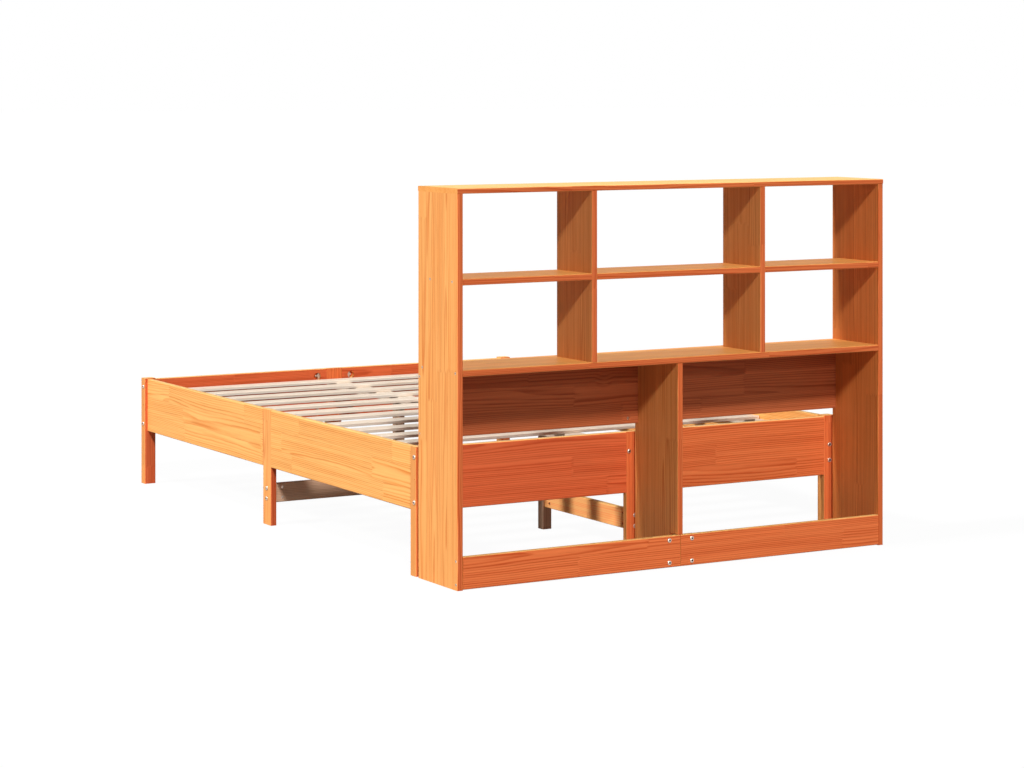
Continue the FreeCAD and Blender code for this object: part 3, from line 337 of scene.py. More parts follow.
# Rings are a little flattened; each darkens slowly and ends sharply, in shares of the ring gap.
RING_SQUASH = 0.9
RING_RISE = (0.35, 0.86)
RING_FALL = (0.90, 1.0)
# Noise along, across and through the board, per metre, and how far the rings swing with it.
WANDER_SCALE, WANDER = (1.2, 3.0, 3.0), 0.026
RIPPLE_SCALE, RIPPLE = (6.0, 40.0, 40.0), 0.0028
FIBRE_SCALE = (9.0, 300.0, 300.0)
STREAK_SCALE = (1.3, 95.0, 95.0)
STAVE_SHIFT = 13.7

# Colour: streaks lie between these values of their noise and strengthen the rings.
STREAK_EDGES = (0.3, 0.72)
RING_LEAST, RING_STREAK = 0.6, 0.5
RING_SHARE, STREAK_SHARE = 0.9, 0.40
FIBRE_SWING = 0.42
# Dark resin dashes in the fibre, and how far dashes, knots, seams and end grain darken the wood.
RESIN = (0.34, 0.20, 0.13, 1.0)
DASH_EDGES = (0.60, 0.74)
DASH_LEAST, DASH_STREAK = 0.12, 0.3
KNOT_DARK, SEAM_DARK, END_DARK = 0.8, 0.16, 0.38
# Roughness and height that fibres, rings and seams add.
FIBRE_ROUGH, RING_ROUGH = 0.10, -0.07
FIBRE_HEIGHT, RING_HEIGHT, SEAM_HEIGHT = 0.35, 0.5, 0.8
GRAIN_BUMP, GRAIN_DEPTH = 0.5, 0.25 * MM
# How squarely a face must look along, across or up to start and to finish taking that tone; the tones
# across and up are painted light and shade.
END_EDGES, CROSS_LIGHT_AND_SHADE_EDGES, PAINTED_LIGHT_UP_EDGES = (0.6, 0.85), (0.35, 0.9), (0.45, 0.9)
BOARD_SEEDS = 97
SLAT_STAVE = 3.0


def pine_figure():
    """Growth rings, fibres, staves and knots of glued pine.

    The vector runs along, across and through the board, in metres.
    """
    name = "Pine figure"
    if name in bpy.data.node_groups:
        return bpy.data.node_groups[name]
    tree, given, made = new_group(
        name,
        sockets("Vector", "Vector") + sockets("Float", "Board", "Stave Width", "Stave Length", "Ring Gap"),
        sockets("Float", *FEATURES))
    place, board, width, span, gap = (given.outputs[i] for i in range(5))
    split = add(tree, "ShaderNodeSeparateXYZ", {0: place})
    along, across, through = split.outputs

    # staves: rows of one width, each cut into lengths by finger joints
    row_place = calc(tree, "DIVIDE", across, width)
    row = calc(tree, "FLOOR", row_place)
    row_seed = add(tree, "ShaderNodeTexWhiteNoise", {"Vector": combine(tree, row, board)},
                   noise_dimensions="2D").outputs["Value"]
    teeth = calc(tree, "MULTIPLY", calc(tree, "PINGPONG", across, TOOTH_FLANK), TOOTH_SLOPE)
    length_place = calc(tree, "DIVIDE", calc(tree, "ADD", along, teeth), span)
    length_place = calc(tree, "ADD", length_place, calc(tree, "MULTIPLY", row_seed, ROW_STAGGER))
    column = calc(tree, "FLOOR", length_place)
    stave = combine(tree, row, column, board)
    random = add(tree, "ShaderNodeTexWhiteNoise", {"Vector": stave}, noise_dimensions="3D")
    chance = add(tree, "ShaderNodeSeparateColor", {0: random.outputs["Color"]})
    tone, pith, depth = chance.outputs
    row_edge = calc(tree, "PINGPONG", row_place, 0.5)
    row_seam = ramp(tree, calc(tree, "MULTIPLY", row_edge, width), *ROW_SEAM, 1.0, 0.0)
    end_edge = calc(tree, "PINGPONG", length_place, 0.5)
    end_seam = ramp(tree, calc(tree, "MULTIPLY", end_edge, span), *END_SEAM, 1.0, 0.0)
    seam = calc(tree, "MAXIMUM", row_seam, end_seam)

    # knots: a few round spots that the rings bend round
    knot_place = combine(tree, along, across, calc(tree, "MULTIPLY", board, KNOT_STEP))
    cells = add(tree, "ShaderNodeTexVoronoi", {"Vector": knot_place, "Scale": KNOT_CELLS},
                voronoi_dimensions="3D", feature="F1")
    picked = add(tree, "ShaderNodeSeparateColor", {0: cells.outputs["Color"]})
    from_knot = cells.outputs["Distance"]
    is_knot = calc(tree, "GREATER_THAN", picked.outputs[0], KNOT_FREE)
    spot = calc(tree, "MULTIPLY", ramp(tree, from_knot, *KNOT_EDGE, 1.0, 0.0), is_knot)
    swirl = calc(tree, "MULTIPLY", ramp(tree, from_knot, 0.0, KNOT_REACH, KNOT_PULL, 0.0), is_knot)

    # rings round a pith that runs along each stave, inside it or beside it
    stave_shift = vector(tree, "SCALE", stave)
    stave_shift.node.inputs["Scale"].default_value = STAVE_SHIFT
    slow_place = stretched(tree, place, WANDER_SCALE, stave_shift)
    wander = swing(tree, noise(tree, slow_place, detail=1.0), WANDER)
    quick_place = stretched(tree, place, RIPPLE_SCALE, stave_shift)
    ripple = swing(tree, noise(tree, quick_place), RIPPLE)
    pith_place = calc(tree, "MULTIPLY_ADD", pith, PITH_SPREAD, PITH_START)
    from_pith = calc(tree, "SUBTRACT", calc(tree, "FRACT", row_place), pith_place)
    sideways = calc(tree, "MULTIPLY", calc(tree, "MULTIPLY", from_pith, width), RING_SQUASH)
    downwards = calc(tree, "ADD", through,
                     calc(tree, "MULTIPLY_ADD", depth, PITH_DEPTH_SPREAD, PITH_DEPTH))
    reach = calc(tree, "SQRT", calc(tree, "ADD", calc(tree, "MULTIPLY", sideways, sideways),
                                    calc(tree, "MULTIPLY", downwards, downwards)))
    reach = calc(tree, "ADD", calc(tree, "ADD", reach, wander), calc(tree, "ADD", ripple, swirl))
    phase = calc(tree, "FRACT", calc(tree, "DIVIDE", reach, gap))
    rise = ramp(tree, phase, *RING_RISE)
    fall = ramp(tree, phase, *RING_FALL, 1.0, 0.0)
    ring = calc(tree, "MULTIPLY", rise, fall)

    fibre_place = stretched(tree, place, FIBRE_SCALE, stave_shift)
    fibre = noise(tree, fibre_place, detail=3.0, roughness=0.65)
    streak_place = stretched(tree, place, STREAK_SCALE, stave_shift)
    streak = noise(tree, streak_place, detail=3.0, roughness=0.55)

    put_out(tree, made, Ring=ring, Fibre=fibre, Streak=streak, Tone=tone, Knot=spot, Seam=seam)
    return tree


def pine_colour():
    """Turns the figure into colour, roughness and height; faces across and up take their own colours, which
    are painted light and shade.
    """
    name = "Pine colour"
    if name in bpy.data.node_groups:
        return bpy.data.node_groups[name]
    tree, given, made = new_group(
        name,
        sockets("Float", *FEATURES, "End", "Cross", "Up")
        + sockets("Color", "Early", "Late", "Cross Early", "Cross Late", "Up Early", "Up Late")
        + sockets("Float", "Figure", "Stave Contrast", "Base Roughness"),
        sockets("Color", "Color") + sockets("Float", "Roughness", "Height"))
    take = given.outputs
    # painted light and shade: faces across the bed and upward faces blend to their own colours
    early = blend(tree, take["Cross"], take["Early"], take["Cross Early"])
    early = blend(tree, take["Up"], early, take["Up Early"])
    late = blend(tree, take["Cross"], take["Late"], take["Cross Late"])
    late = blend(tree, take["Up"], late, take["Up Late"])
    streak = ramp(tree, take["Streak"], *STREAK_EDGES)
    lines = calc(tree, "MULTIPLY", take["Ring"],
                 calc(tree, "MULTIPLY_ADD", streak, RING_STREAK, RING_LEAST))
    body = calc(tree, "MULTIPLY_ADD", streak, STREAK_SHARE, calc(tree, "MULTIPLY", lines, RING_SHARE))
    amount = calc(tree, "MULTIPLY", body, take["Figure"], clamp=True)
    wood = blend(tree, amount, early, late)
    tone_step = swing(tree, take["Tone"], take["Stave Contrast"])
    fibre_step = swing(tree, take["Fibre"], FIBRE_SWING)
    light = calc(tree, "ADD", calc(tree, "ADD", 1.0, tone_step), fibre_step)
    wood = vector(tree, "SCALE", wood)
    tree.links.new(light, wood.node.inputs["Scale"])
    dark = blend(tree, 1.0, late, RESIN, how="MULTIPLY")
    dash = calc(tree, "MULTIPLY", ramp(tree, take["Fibre"], *DASH_EDGES),
                calc(tree, "MULTIPLY_ADD", streak, DASH_STREAK, DASH_LEAST))
    wood = blend(tree, dash, wood, dark)
    for label, strength, shade in (("Knot", KNOT_DARK, dark), ("Seam", SEAM_DARK, dark),
                                   ("End", END_DARK, late)):
        wood = blend(tree, calc(tree, "MULTIPLY", take[label], strength), wood, shade)
    rough = calc(tree, "MULTIPLY_ADD", take["Fibre"], FIBRE_ROUGH, take["Base Roughness"])
    rough = calc(tree, "MULTIPLY_ADD", take["Ring"], RING_ROUGH, rough)
    height = calc(tree, "MULTIPLY_ADD", take["Fibre"], FIBRE_HEIGHT,
                  calc(tree, "MULTIPLY", take["Ring"], RING_HEIGHT))
    height = calc(tree, "SUBTRACT", height, calc(tree, "MULTIPLY", take["Seam"], SEAM_HEIGHT))
    put_out(tree, made, Color=wood, Roughness=rough, Height=height)
    return tree


def board_axes(node):
    """Indices of the axes along, across and through a board, by its size."""
    low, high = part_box(node)
    return sorted(range(3), key=lambda i: low[i] - high[i])


def stain(name):
    """A stain's two colours, between and in the growth rings, or None where a board has none; several pairs
    carry painted light and shade as well.
    """
    wood = bpy.context.scene.bed_wood
    return name and (getattr(wood, name), getattr(wood, name + "_late"))


def pine_material(name, node, tones, cross=None, up=None, axes=None, stave=None, span=None):
    """Pine for one board: the figure follows the board's own edges and differs from board to board.

    tones, cross and up are pairs of colours, between and in the growth rings: for the whole board, for the
    faces across the bed and for the faces that look up. The pair across is painted shade on stained boards
    and painted light on slat edges; the pair up is painted light.
    """
    wood = bpy.context.scene.bed_wood
    along, across, through = axes or board_axes(node)
    low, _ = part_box(node)
    material, tree, shader = new_material(name)
    coordinates = add(tree, "ShaderNodeTexCoord")
    place = add(tree, "ShaderNodeSeparateXYZ", {0: coordinates.outputs["Object"]}).outputs
    facing = add(tree, "ShaderNodeSeparateXYZ", {0: coordinates.outputs["Normal"]}).outputs
    turned = combine(tree, place[along], place[across], place[through])
    start = (-low[along], -low[across], -low[through])
    mapped = add(tree, "ShaderNodeMapping", {"Vector": turned, "Location": start})
    board = sum(map(ord, node)) % BOARD_SEEDS + 0.5
    figure = add(tree, "ShaderNodeGroup", node_tree=pine_figure())
    tree.links.new(mapped.outputs[0], figure.inputs["Vector"])
    for label, value in (("Board", board), ("Stave Width", stave or wood.stave_width),
                         ("Stave Length", span or wood.stave_length), ("Ring Gap", wood.ring_gap)):
        figure.inputs[label].default_value = value
    finish = add(tree, "ShaderNodeGroup", node_tree=pine_colour())
    for label in FEATURES:
        tree.links.new(figure.outputs[label], finish.inputs[label])
    end = ramp(tree, calc(tree, "ABSOLUTE", facing[along]), *END_EDGES)
    tree.links.new(end, finish.inputs["End"])
    # painted light and shade: masks for faces across the bed and for upward faces
    if cross:
        side = ramp(tree, calc(tree, "ABSOLUTE", facing[1]), *CROSS_LIGHT_AND_SHADE_EDGES)
        tree.links.new(side, finish.inputs["Cross"])
    if up:
        tree.links.new(ramp(tree, facing[2], *PAINTED_LIGHT_UP_EDGES), finish.inputs["Up"])
    for label, pair in (("", tones), ("Cross ", cross or tones), ("Up ", up or tones)):
        finish.inputs[label + "Early"].default_value = linear(pair[0])
        finish.inputs[label + "Late"].default_value = linear(pair[1])
    finish.inputs["Figure"].default_value = wood.figure
    finish.inputs["Stave Contrast"].default_value = wood.stave_contrast
    finish.inputs["Base Roughness"].default_value = wood.roughness
    relief = add(tree, "ShaderNodeBump", {"Strength": GRAIN_BUMP, "Distance": GRAIN_DEPTH,
                                          "Height": finish.outputs["Height"]})
    tree.links.new(finish.outputs["Color"], shader.inputs["Base Color"])
    tree.links.new(finish.outputs["Roughness"], shader.inputs["Roughness"])
    tree.links.new(relief.outputs[0], shader.inputs["Normal"])
    shader.inputs["Specular IOR Level"].default_value = wood.sheen
    return material


# -------- steel

# Spangle and scuffs per metre, the scuffs drawn out, the shades of the spangle and what scuffs roughen.
SPANGLE_SCALE = 900.0
SCUFF_SCALE, SCUFF_DRAW = 420.0, (1.0, 1.0, 9.0)
SPANGLE_EDGES, SPANGLE_SHADES = (0.3, 0.7), (0.82, 1.06)
SCUFF_ROUGH = 0.22
PLATING_BUMP, PLATING_DEPTH = 0.25, 0.05 * MM


def plating():
    """Faint mottling and scuffs of zinc plating."""
    name = "Zinc plating"
    if name in bpy.data.node_groups:
        return bpy.data.node_groups[name]
    tree, given, made = new_group(name, sockets("Vector", "Vector") + sockets("Float", "Base Roughness"),
                                  sockets("Float", "Shade", "Roughness", "Height"))
    place = given.outputs["Vector"]
    spangle = noise(tree, place, scale=SPANGLE_SCALE, detail=3.0, roughness=0.6)
    scuff = noise(tree, vector(tree, "MULTIPLY", place, SCUFF_DRAW), scale=SCUFF_SCALE)
    shade = ramp(tree, spangle, *SPANGLE_EDGES, *SPANGLE_SHADES)
    rough = calc(tree, "MULTIPLY_ADD", scuff, SCUFF_ROUGH, given.outputs["Base Roughness"])
    put_out(tree, made, Shade=shade, Roughness=rough, Height=scuff)
    return tree


def steel_material(recess=False):
    """Zinc-plated steel, or the darker steel inside a recess, which is painted shade."""
    name = "Oiled recess" if recess else "Zinc-plated steel"
    if name in bpy.data.materials:
        return bpy.data.materials[name]
    fittings = bpy.context.scene.bed_fittings
    metal = fittings.recess if recess else fittings.steel
    material, tree, shader = new_material(name)
    coordinates = add(tree, "ShaderNodeTexCoord")
    finish = add(tree, "ShaderNodeGroup", node_tree=plating())
    tree.links.new(coordinates.outputs["Object"], finish.inputs["Vector"])
    finish.inputs["Base Roughness"].default_value = fittings.roughness
    tint = blend(tree, 1.0, linear(metal), (1, 1, 1, 1), how="MULTIPLY")
    tree.links.new(finish.outputs["Shade"], tint.node.inputs[7])
    relief = add(tree, "ShaderNodeBump", {"Strength": PLATING_BUMP, "Distance": PLATING_DEPTH,
                                          "Height": finish.outputs["Height"]})
    tree.links.new(tint, shader.inputs["Base Color"])
    tree.links.new(finish.outputs["Roughness"], shader.inputs["Roughness"])
    tree.links.new(relief.outputs[0], shader.inputs["Normal"])
    shader.inputs["Metallic"].default_value = 1.0
    return material


# -------- places of the CAD's fasteners

# how far from its end a fastener's thickness is read
END_REACH = 0.8 * MM


def solids_of(node):
    """Corner points of each separate solid in a CAD node, in a fixed order."""
    mesh = bmesh.new()
    mesh.from_mesh(frame["nodes"][node].data)
    bmesh.ops.remove_doubles(mesh, verts=mesh.verts, dist=SAME_POINT)
    mesh.verts.ensure_lookup_table()
    seen = [False] * len(mesh.verts)
    solids = []
    for first in mesh.verts:
        if seen[first.index]:
            continue
        seen[first.index] = True
        waiting, points = [first], []
        while waiting:
            corner = waiting.pop()
            points.append(corner.co.copy())
            for edge in corner.link_edges:
                other = edge.other_vert(corner)
                if not seen[other.index]:
                    seen[other.index] = True
                    waiting.append(other)
        solids.append(points)
    mesh.free()
    return sorted(solids, key=lambda points: [round(v, 5) for v in box_of(points)[0]])


def box_of(points):
    low = Vector([min(p[i] for p in points) for i in range(3)])
    high = Vector([max(p[i] for p in points) for i in range(3)])
    return low, high


def long_axis(points):
    low, high = box_of(points)
    return max(range(3), key=lambda i: high[i] - low[i])


def thickness_at(points, axis, end):
    """Largest distance from the solid's own axis near one end."""
    low, high = box_of(points)
    middle = (low + high) / 2
    spread = 0.0
    for point in points:
        if abs(point[axis] - end) < END_REACH:
            offset = point - middle
            offset[axis] = 0
            spread = max(spread, offset.length)
    return spread


def headed_line(points):
    """Face of the head, direction away from it, whole length and head radius of a bolt or screw."""
    low, high = box_of(points)
    axis = long_axis(points)
    middle = (low + high) / 2
    head_low = thickness_at(points, axis, low[axis]) > thickness_at(points, axis, high[axis])
    span = high[axis] - low[axis]
    start = middle.copy()
    start[axis] = low[axis] if head_low else high[axis]
    way = AXES[axis] if head_low else -AXES[axis]
    across = (axis + 1) % 3
    return start, way, span, (high[across] - low[across]) / 2


def shaft_radius(points):
    """Radius of a bolt or screw at its plain end."""
    low, high = box_of(points)
    axis = long_axis(points)
    return min(thickness_at(points, axis, low[axis]), thickness_at(points, axis, high[axis]))


def facing(place, way):
    """Matrix that takes a shape made along +Z to a place, pointing along way."""
    turn = Vector((0, 0, 1)).rotation_difference(way).to_matrix().to_4x4()
    return Matrix.Translation(place) @ turn


# -------- mesh helpers

HEXAGON = 6
# corners of a cross recess: every second one is drawn in to the waist
CROSS_CORNERS = 8
# faces round a turned piece, a multiple of both
ROUND_STEPS = 24
SMOOTH_BELOW = math.radians(35)
# a face counts as inside a recess up to this share of its radius
INSIDE = 0.995
# places of a thread's crest and root in its pitch
CREST, ROOT = 0.2, 0.6


def finish_mesh(mesh, name, node):
    """Turn a bmesh into a piece that stands for a CAD node."""
    bmesh.ops.remove_doubles(mesh, verts=mesh.verts, dist=WELD)
    bmesh.ops.recalc_face_normals(mesh, faces=mesh.faces)
    recessed = any(face.material_index == 1 for face in mesh.faces)
    data = bpy.data.meshes.new(name)
    data.materials.append(steel_material())
    # faces inside a recess take a second material: painted shade
    if recessed:
        data.materials.append(steel_material(recess=True))
    mesh.to_mesh(data)
    mesh.free()
    data.polygons.foreach_set("use_smooth", [True] * len(data.polygons))
    data.set_sharp_from_angle(angle=SMOOTH_BELOW)
    piece = bpy.data.objects.new(name, data)
    bpy.context.scene.collection.objects.link(piece)
    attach(piece, "root")
    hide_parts(node)
    return piece


def stamp(mesh, shape, matrix):
    """Add a transformed copy of shape, a bmesh, to mesh."""
    data = bpy.data.meshes.new("stamp")
    shape.to_mesh(data)
    known = len(mesh.verts)
    mesh.from_mesh(data)
    mesh.verts.ensure_lookup_table()
    bmesh.ops.transform(mesh, matrix=matrix, verts=mesh.verts[known:])
    bpy.data.meshes.remove(data)


def lathe(mesh, profile):
    """Turn a profile of (radius, height) about the Z axis."""
    corners = [mesh.verts.new((radius, 0, height)) for radius, height in profile]
    edges = [mesh.edges.new(pair) for pair in zip(corners, corners[1:])]
    bmesh.ops.spin(mesh, geom=corners + edges, cent=(0, 0, 0), axis=(0, 0, 1), angle=TURN,
                   steps=ROUND_STEPS, use_merge=True, use_duplicate=False)
    bmesh.ops.remove_doubles(mesh, verts=mesh.verts, dist=SAME_POINT)


def ring_at(mesh, height, radius):
    """Edges of the round loop at one height and radius."""
    def on_ring(corner):
        flat = math.hypot(corner.co.x, corner.co.y)
        return abs(corner.co.z - height) < ON_RING and abs(flat - radius) < ON_RING
    return [edge for edge in mesh.edges if all(on_ring(corner) for corner in edge.verts)]


def polygon_loop(mesh, sides, radius, height, parts):
    """A level polygon with each side cut into parts; returns its edges."""
    made = bmesh.ops.create_circle(mesh, cap_ends=False, segments=sides, radius=radius)
    corners = made["verts"]
    bmesh.ops.translate(mesh, verts=corners, vec=(0, 0, height))
    edges = list({edge for corner in corners for edge in corner.link_edges})
    if parts > 1:
        cut = bmesh.ops.subdivide_edges(mesh, edges=edges, cuts=parts - 1)
        edges = list({edge for edge in edges if edge.is_valid}
                     | {item for item in cut["geom"] if isinstance(item, bmesh.types.BMEdge)})
    return edges


def outline_share(angle, sides, waist):
    """How far a polygon reaches at an angle, as a share of its corners; a waist below 1 makes a star."""
    step = TURN / sides
    first = math.floor(angle / step + 0.001)
    start, end = (Vector((math.cos(i * step), math.sin(i * step))) * (waist if i % 2 else 1)
                  for i in (first, first + 1))
    edge, way = end - start, Vector((math.cos(angle), math.sin(angle)))
    return (start.x * edge.y - start.y * edge.x) / (way.x * edge.y - way.y * edge.x)


def shape_recess(mesh, radius, depth, taper, sides, waist=1.0):
    """Push the round mouth and floor that the lathe left onto a polygon or a star, in the darker steel of
    painted shade.
    """
    for face in mesh.faces:
        middle = face.calc_center_median()
        flat = math.hypot(middle.x, middle.y)
        if ON_RING < middle.z < depth + ON_RING and flat < radius * INSIDE:
            face.material_index = 1
    for height, reach in ((0, radius), (depth, radius * taper)):
        for corner in {item for edge in ring_at(mesh, height, reach) for item in edge.verts}:
            angle = math.atan2(corner.co.y, corner.co.x) % TURN
            corner.co.xy = corner.co.xy * outline_share(angle, sides, waist)


def thread_profile(radius, start, end):
    """Ridges of a thread along a shaft, from start to end."""
    fittings = bpy.context.scene.bed_fittings
    pitch, root = fittings.thread_pitch, radius - fittings.thread_depth
    profile = []
    for turn in range(int((end - start) / pitch)):
        height = start + turn * pitch
        profile += [(radius, height + CREST * pitch), (root, height + ROOT * pitch)]
    return profile


# -------- fittings

# Bolt: where the dome of the head starts on its circle, how far it sweeps, and in how many steps; the
# mouth of the dome over the socket's corners, and the socket's floor over its mouth.
DOME_START, DOME_SWEEP, DOME_STEPS = math.radians(15), math.radians(75), 6
MOUTH = 1.12
SOCKET_TAPER = 0.96
# Screw: the recess and the flat of the face in shares of the head's radius, then heights down the head.
CROSS_REACH, CROSS_TAPER, CROSS_WAIST = 0.62, 0.5, 0.42
CROSS_DEPTH = 1.6 * MM
FACE_FLAT = (0.72, 0.94)
RIM_TOP, RIM_BOTTOM, NECK = 0.25 * MM, 0.7 * MM, 2.5 * MM
SCREW_THREAD, SCREW_POINT = 8 * MM, 5 * MM
POINT_START = 0.8
# Nuts: bore of a hexagon nut, slope of its chamfer, and the slot across a barrel nut's end.
NUT_BORE = 2.9 * MM
CHAMFER_SLOPE = 0.9
SLOT_RIM, SLOT_HALF, SLOT_DEPTH = 0.9 * MM, 0.75 * MM, 1.6 * MM
SLOT_REACH, SLOT_MIDDLE = 2 * MM, 0.2 * MM
# normal's Z below which a face looks down
DOWNWARDS = -0.9


def button_bolt(span, head_radius, shaft):
    """Button-head bolt along +Z, the crown of its head at the origin."""
    fittings = bpy.context.scene.bed_fittings
    crown, rim = fittings.head_height, fittings.head_rim
    corner, depth = fittings.socket / math.sqrt(3), fittings.socket_depth
    mouth = corner * MOUTH
    mesh = bmesh.new()
    dome = []
    for step in range(DOME_STEPS + 1):
        swept = DOME_SWEEP * step / DOME_STEPS
        part = (math.sin(DOME_START + swept) - math.sin(DOME_START)) / (1 - math.sin(DOME_START))
        rise = (1 - math.cos(swept)) / (1 - math.cos(DOME_SWEEP))
        dome.append((mouth + (head_radius - mouth) * part, (crown - rim) * rise))
    neck = [(head_radius, crown), (shaft, crown)]
    thread = thread_profile(shaft, span - fittings.thread_length, span - fittings.thread_pitch)
    tip = [(shaft - fittings.thread_depth, span), (0, span)]
    lathe(mesh, [(0, depth), (corner * SOCKET_TAPER, depth), (corner, 0)] + dome + neck + thread + tip)
    shape_recess(mesh, corner, depth, SOCKET_TAPER, HEXAGON)
    return mesh


def wood_screw(span, head_radius, shaft):
    """Countersunk screw along +Z, the face of its head at the origin."""
    arm, shoulder = head_radius * CROSS_REACH, span - SCREW_POINT
    mesh = bmesh.new()
    recess = [(0, CROSS_DEPTH), (arm * CROSS_TAPER, CROSS_DEPTH), (arm, 0)]
    head = [(head_radius * share, 0) for share in FACE_FLAT]
    head += [(head_radius, RIM_TOP), (head_radius, RIM_BOTTOM), (shaft, NECK)]
    thread = thread_profile(shaft, shoulder - SCREW_THREAD, shoulder)
    lathe(mesh, recess + head + thread + [(shaft * POINT_START, shoulder), (0, span)])
    shape_recess(mesh, arm, CROSS_DEPTH, CROSS_TAPER, CROSS_CORNERS, waist=CROSS_WAIST)
    return mesh


def hexagon_nut(height, flats):
    """Nut along +Z from the origin, its corners chamfered."""
    fittings = bpy.context.scene.bed_fittings
    mesh = bmesh.new()
    loops = []
    for level in (0, height):
        outer = polygon_loop(mesh, HEXAGON, flats / math.sqrt(3), level, ROUND_STEPS // HEXAGON)
        inner = polygon_loop(mesh, ROUND_STEPS, NUT_BORE, level, 1)
        bmesh.ops.bridge_loops(mesh, edges=outer + inner)
        loops.append((outer, inner))
    for first, second in zip(*loops):
        bmesh.ops.bridge_loops(mesh, edges=first + second)
    for corner in mesh.verts:
        past = math.hypot(corner.co.x, corner.co.y) - flats / 2
        if past > 0:
            drop = min(past * CHAMFER_SLOPE, fittings.chamfer)
            corner.co.z += drop if corner.co.z < height / 2 else -drop
    return mesh


def downward_faces(mesh, reach):
    """Faces that look down, with their middles within reach of the slot's line."""
    found = []
    for face in mesh.faces:
        middle = face.calc_center_median()
        if face.normal.z < DOWNWARDS and abs(middle.x) < reach and abs(middle.y) < SLOT_REACH:
            found.append(face)
    return found


def barrel_nut(span, radius):
    """Barrel nut along Z, centred on the origin, with a slot in the end at -Z."""
    chamfer = bpy.context.scene.bed_fittings.chamfer
    half = span / 2
    mesh = bmesh.new()
    lathe(mesh, [(0, half), (radius - chamfer, half), (radius, half - chamfer), (radius, chamfer - half),
                 (radius - chamfer, -half)])
    rim = ring_at(mesh, -half, radius - chamfer)
    cap = bmesh.ops.contextual_create(mesh, geom=rim)["faces"]
    bmesh.ops.inset_individual(mesh, faces=cap, thickness=SLOT_RIM)
    for side in (SLOT_HALF, -SLOT_HALF):
        middle = downward_faces(mesh, SLOT_REACH)
        around = middle + list({edge for face in middle for edge in face.edges}
                               | {corner for face in middle for corner in face.verts})
        bmesh.ops.bisect_plane(mesh, geom=around, plane_co=(side, 0, 0), plane_no=(1, 0, 0))
    bottom = downward_faces(mesh, SLOT_MIDDLE)
    sunk = bmesh.ops.extrude_face_region(mesh, geom=bottom)["geom"]
    bmesh.ops.delete(mesh, geom=bottom, context="FACES")
    lowered = [item for item in sunk if isinstance(item, bmesh.types.BMVert)]
    bmesh.ops.translate(mesh, verts=lowered, vec=(0, 0, SLOT_DEPTH))
    return mesh


def headed_pieces(node, build):
    """Make every bolt or screw of a node anew, each in its CAD solid's place."""
    mesh = bmesh.new()
    templates = {}
    for points in solids_of(node):
        start, way, span, head = headed_line(points)
        key = round(span / MM, 1)
        if key not in templates:
            templates[key] = build(span, head, shaft_radius(points))
        stamp(mesh, templates[key], facing(start, way))
    for template in templates.values():
        template.free()
    finish_mesh(mesh, node + "_turned", node)


# -------- operators

class BedStep(bpy.types.Operator):
    """One step of the bed's finish"""
    bl_options = {"REGISTER", "UNDO"}


class BED_OT_stain_boards(BedStep):
    """Give every stained board its own pine: painted shade makes the faces that run across the bed redder
    and boards in shade darker, and painted light makes upward faces lighter
    """
    bl_idname = "bed.stain_boards"
    bl_label = "Stain the boards"

    def execute(self, context):
        for nodes, *names in STAINS_AND_PAINTED_LIGHT:
            stains = [stain(name) for name in names]
            for node in nodes:
                # the colours given here carry painted light and shade besides the stain
                give(frame["nodes"][node], pine_material("Stained pine " + node, node, *stains))
        return {"FINISHED"}


class BED_OT_plane_slats(BedStep):
    """Leave slats, ledges, posts and cross beam in bare planed pine, with lighter slat edges as painted
    light
    """
    bl_idname = "bed.plane_slats"
    bl_label = "Plane the bare pine"

    def execute(self, context):
        for nodes, name in ((BARE, "bare"), (RAW, "raw")):
            for node in nodes:
                give(frame["nodes"][node], pine_material("Bare pine " + node, node, stain(name)))
        # one stave to each slat: rows at the slats' own pitch, and a stave longer than a slat
        rows = sorted(box_of(points)[0].y for points in solids_of("slats"))
        pitch = (rows[-1] - rows[0]) / (len(rows) - 1)
        # the slats' edges take lighter colours than their tops: painted light
        give(frame["nodes"]["slats"],
             pine_material("Bare pine slats", "slats", stain("bare"), stain("sawn"), axes=(0, 1, 2),
                           stave=pitch, span=SLAT_STAVE))
        for node in DOWELS:
            give(frame["nodes"][node],
                 pine_material("Dowel pine " + node, node, stain("bare"), axes=(2, 0, 1)))
        return {"FINISHED"}


class BED_OT_turn_bolts(BedStep):
    """Button-head bolts with a hexagon socket and a cut thread"""
    bl_idname = "bed.turn_bolts"
    bl_label = "Turn the bolts"

    def execute(self, context):
        for node in BOLTS:
            headed_pieces(node, button_bolt)
        return {"FINISHED"}


class BED_OT_turn_screws(BedStep):
    """Countersunk screws with a cross recess, flush with the wood"""
    bl_idname = "bed.turn_screws"
    bl_label = "Turn the screws"

    def execute(self, context):
        for node in SCREWS:
            headed_pieces(node, wood_screw)
        return {"FINISHED"}


class BED_OT_thread_rods(BedStep):
    """Threaded rods through the mid and centre legs"""
    bl_idname = "bed.thread_rods"
    bl_label = "Thread the rods"

    def execute(self, context):
        fittings = context.scene.bed_fittings
        mesh = bmesh.new()
        for points in solids_of("through_rods"):
            low, high = box_of(points)
            axis = long_axis(points)
            span = high[axis] - low[axis]
            radius = shaft_radius(points)
            root = radius - fittings.thread_depth
            rod = bmesh.new()
            near = thread_profile(radius, fittings.thread_pitch, fittings.thread_length)
            far = thread_profile(radius, span - fittings.thread_length, span - fittings.thread_pitch)
            lathe(rod, [(0, 0), (root, 0)] + near + far + [(root, span), (0, span)])
            start = (low + high) / 2
            start[axis] = low[axis]
            stamp(mesh, rod, facing(start, AXES[axis]))
            rod.free()
        finish_mesh(mesh, "through_rods_threaded", "through_rods")
        return {"FINISHED"}


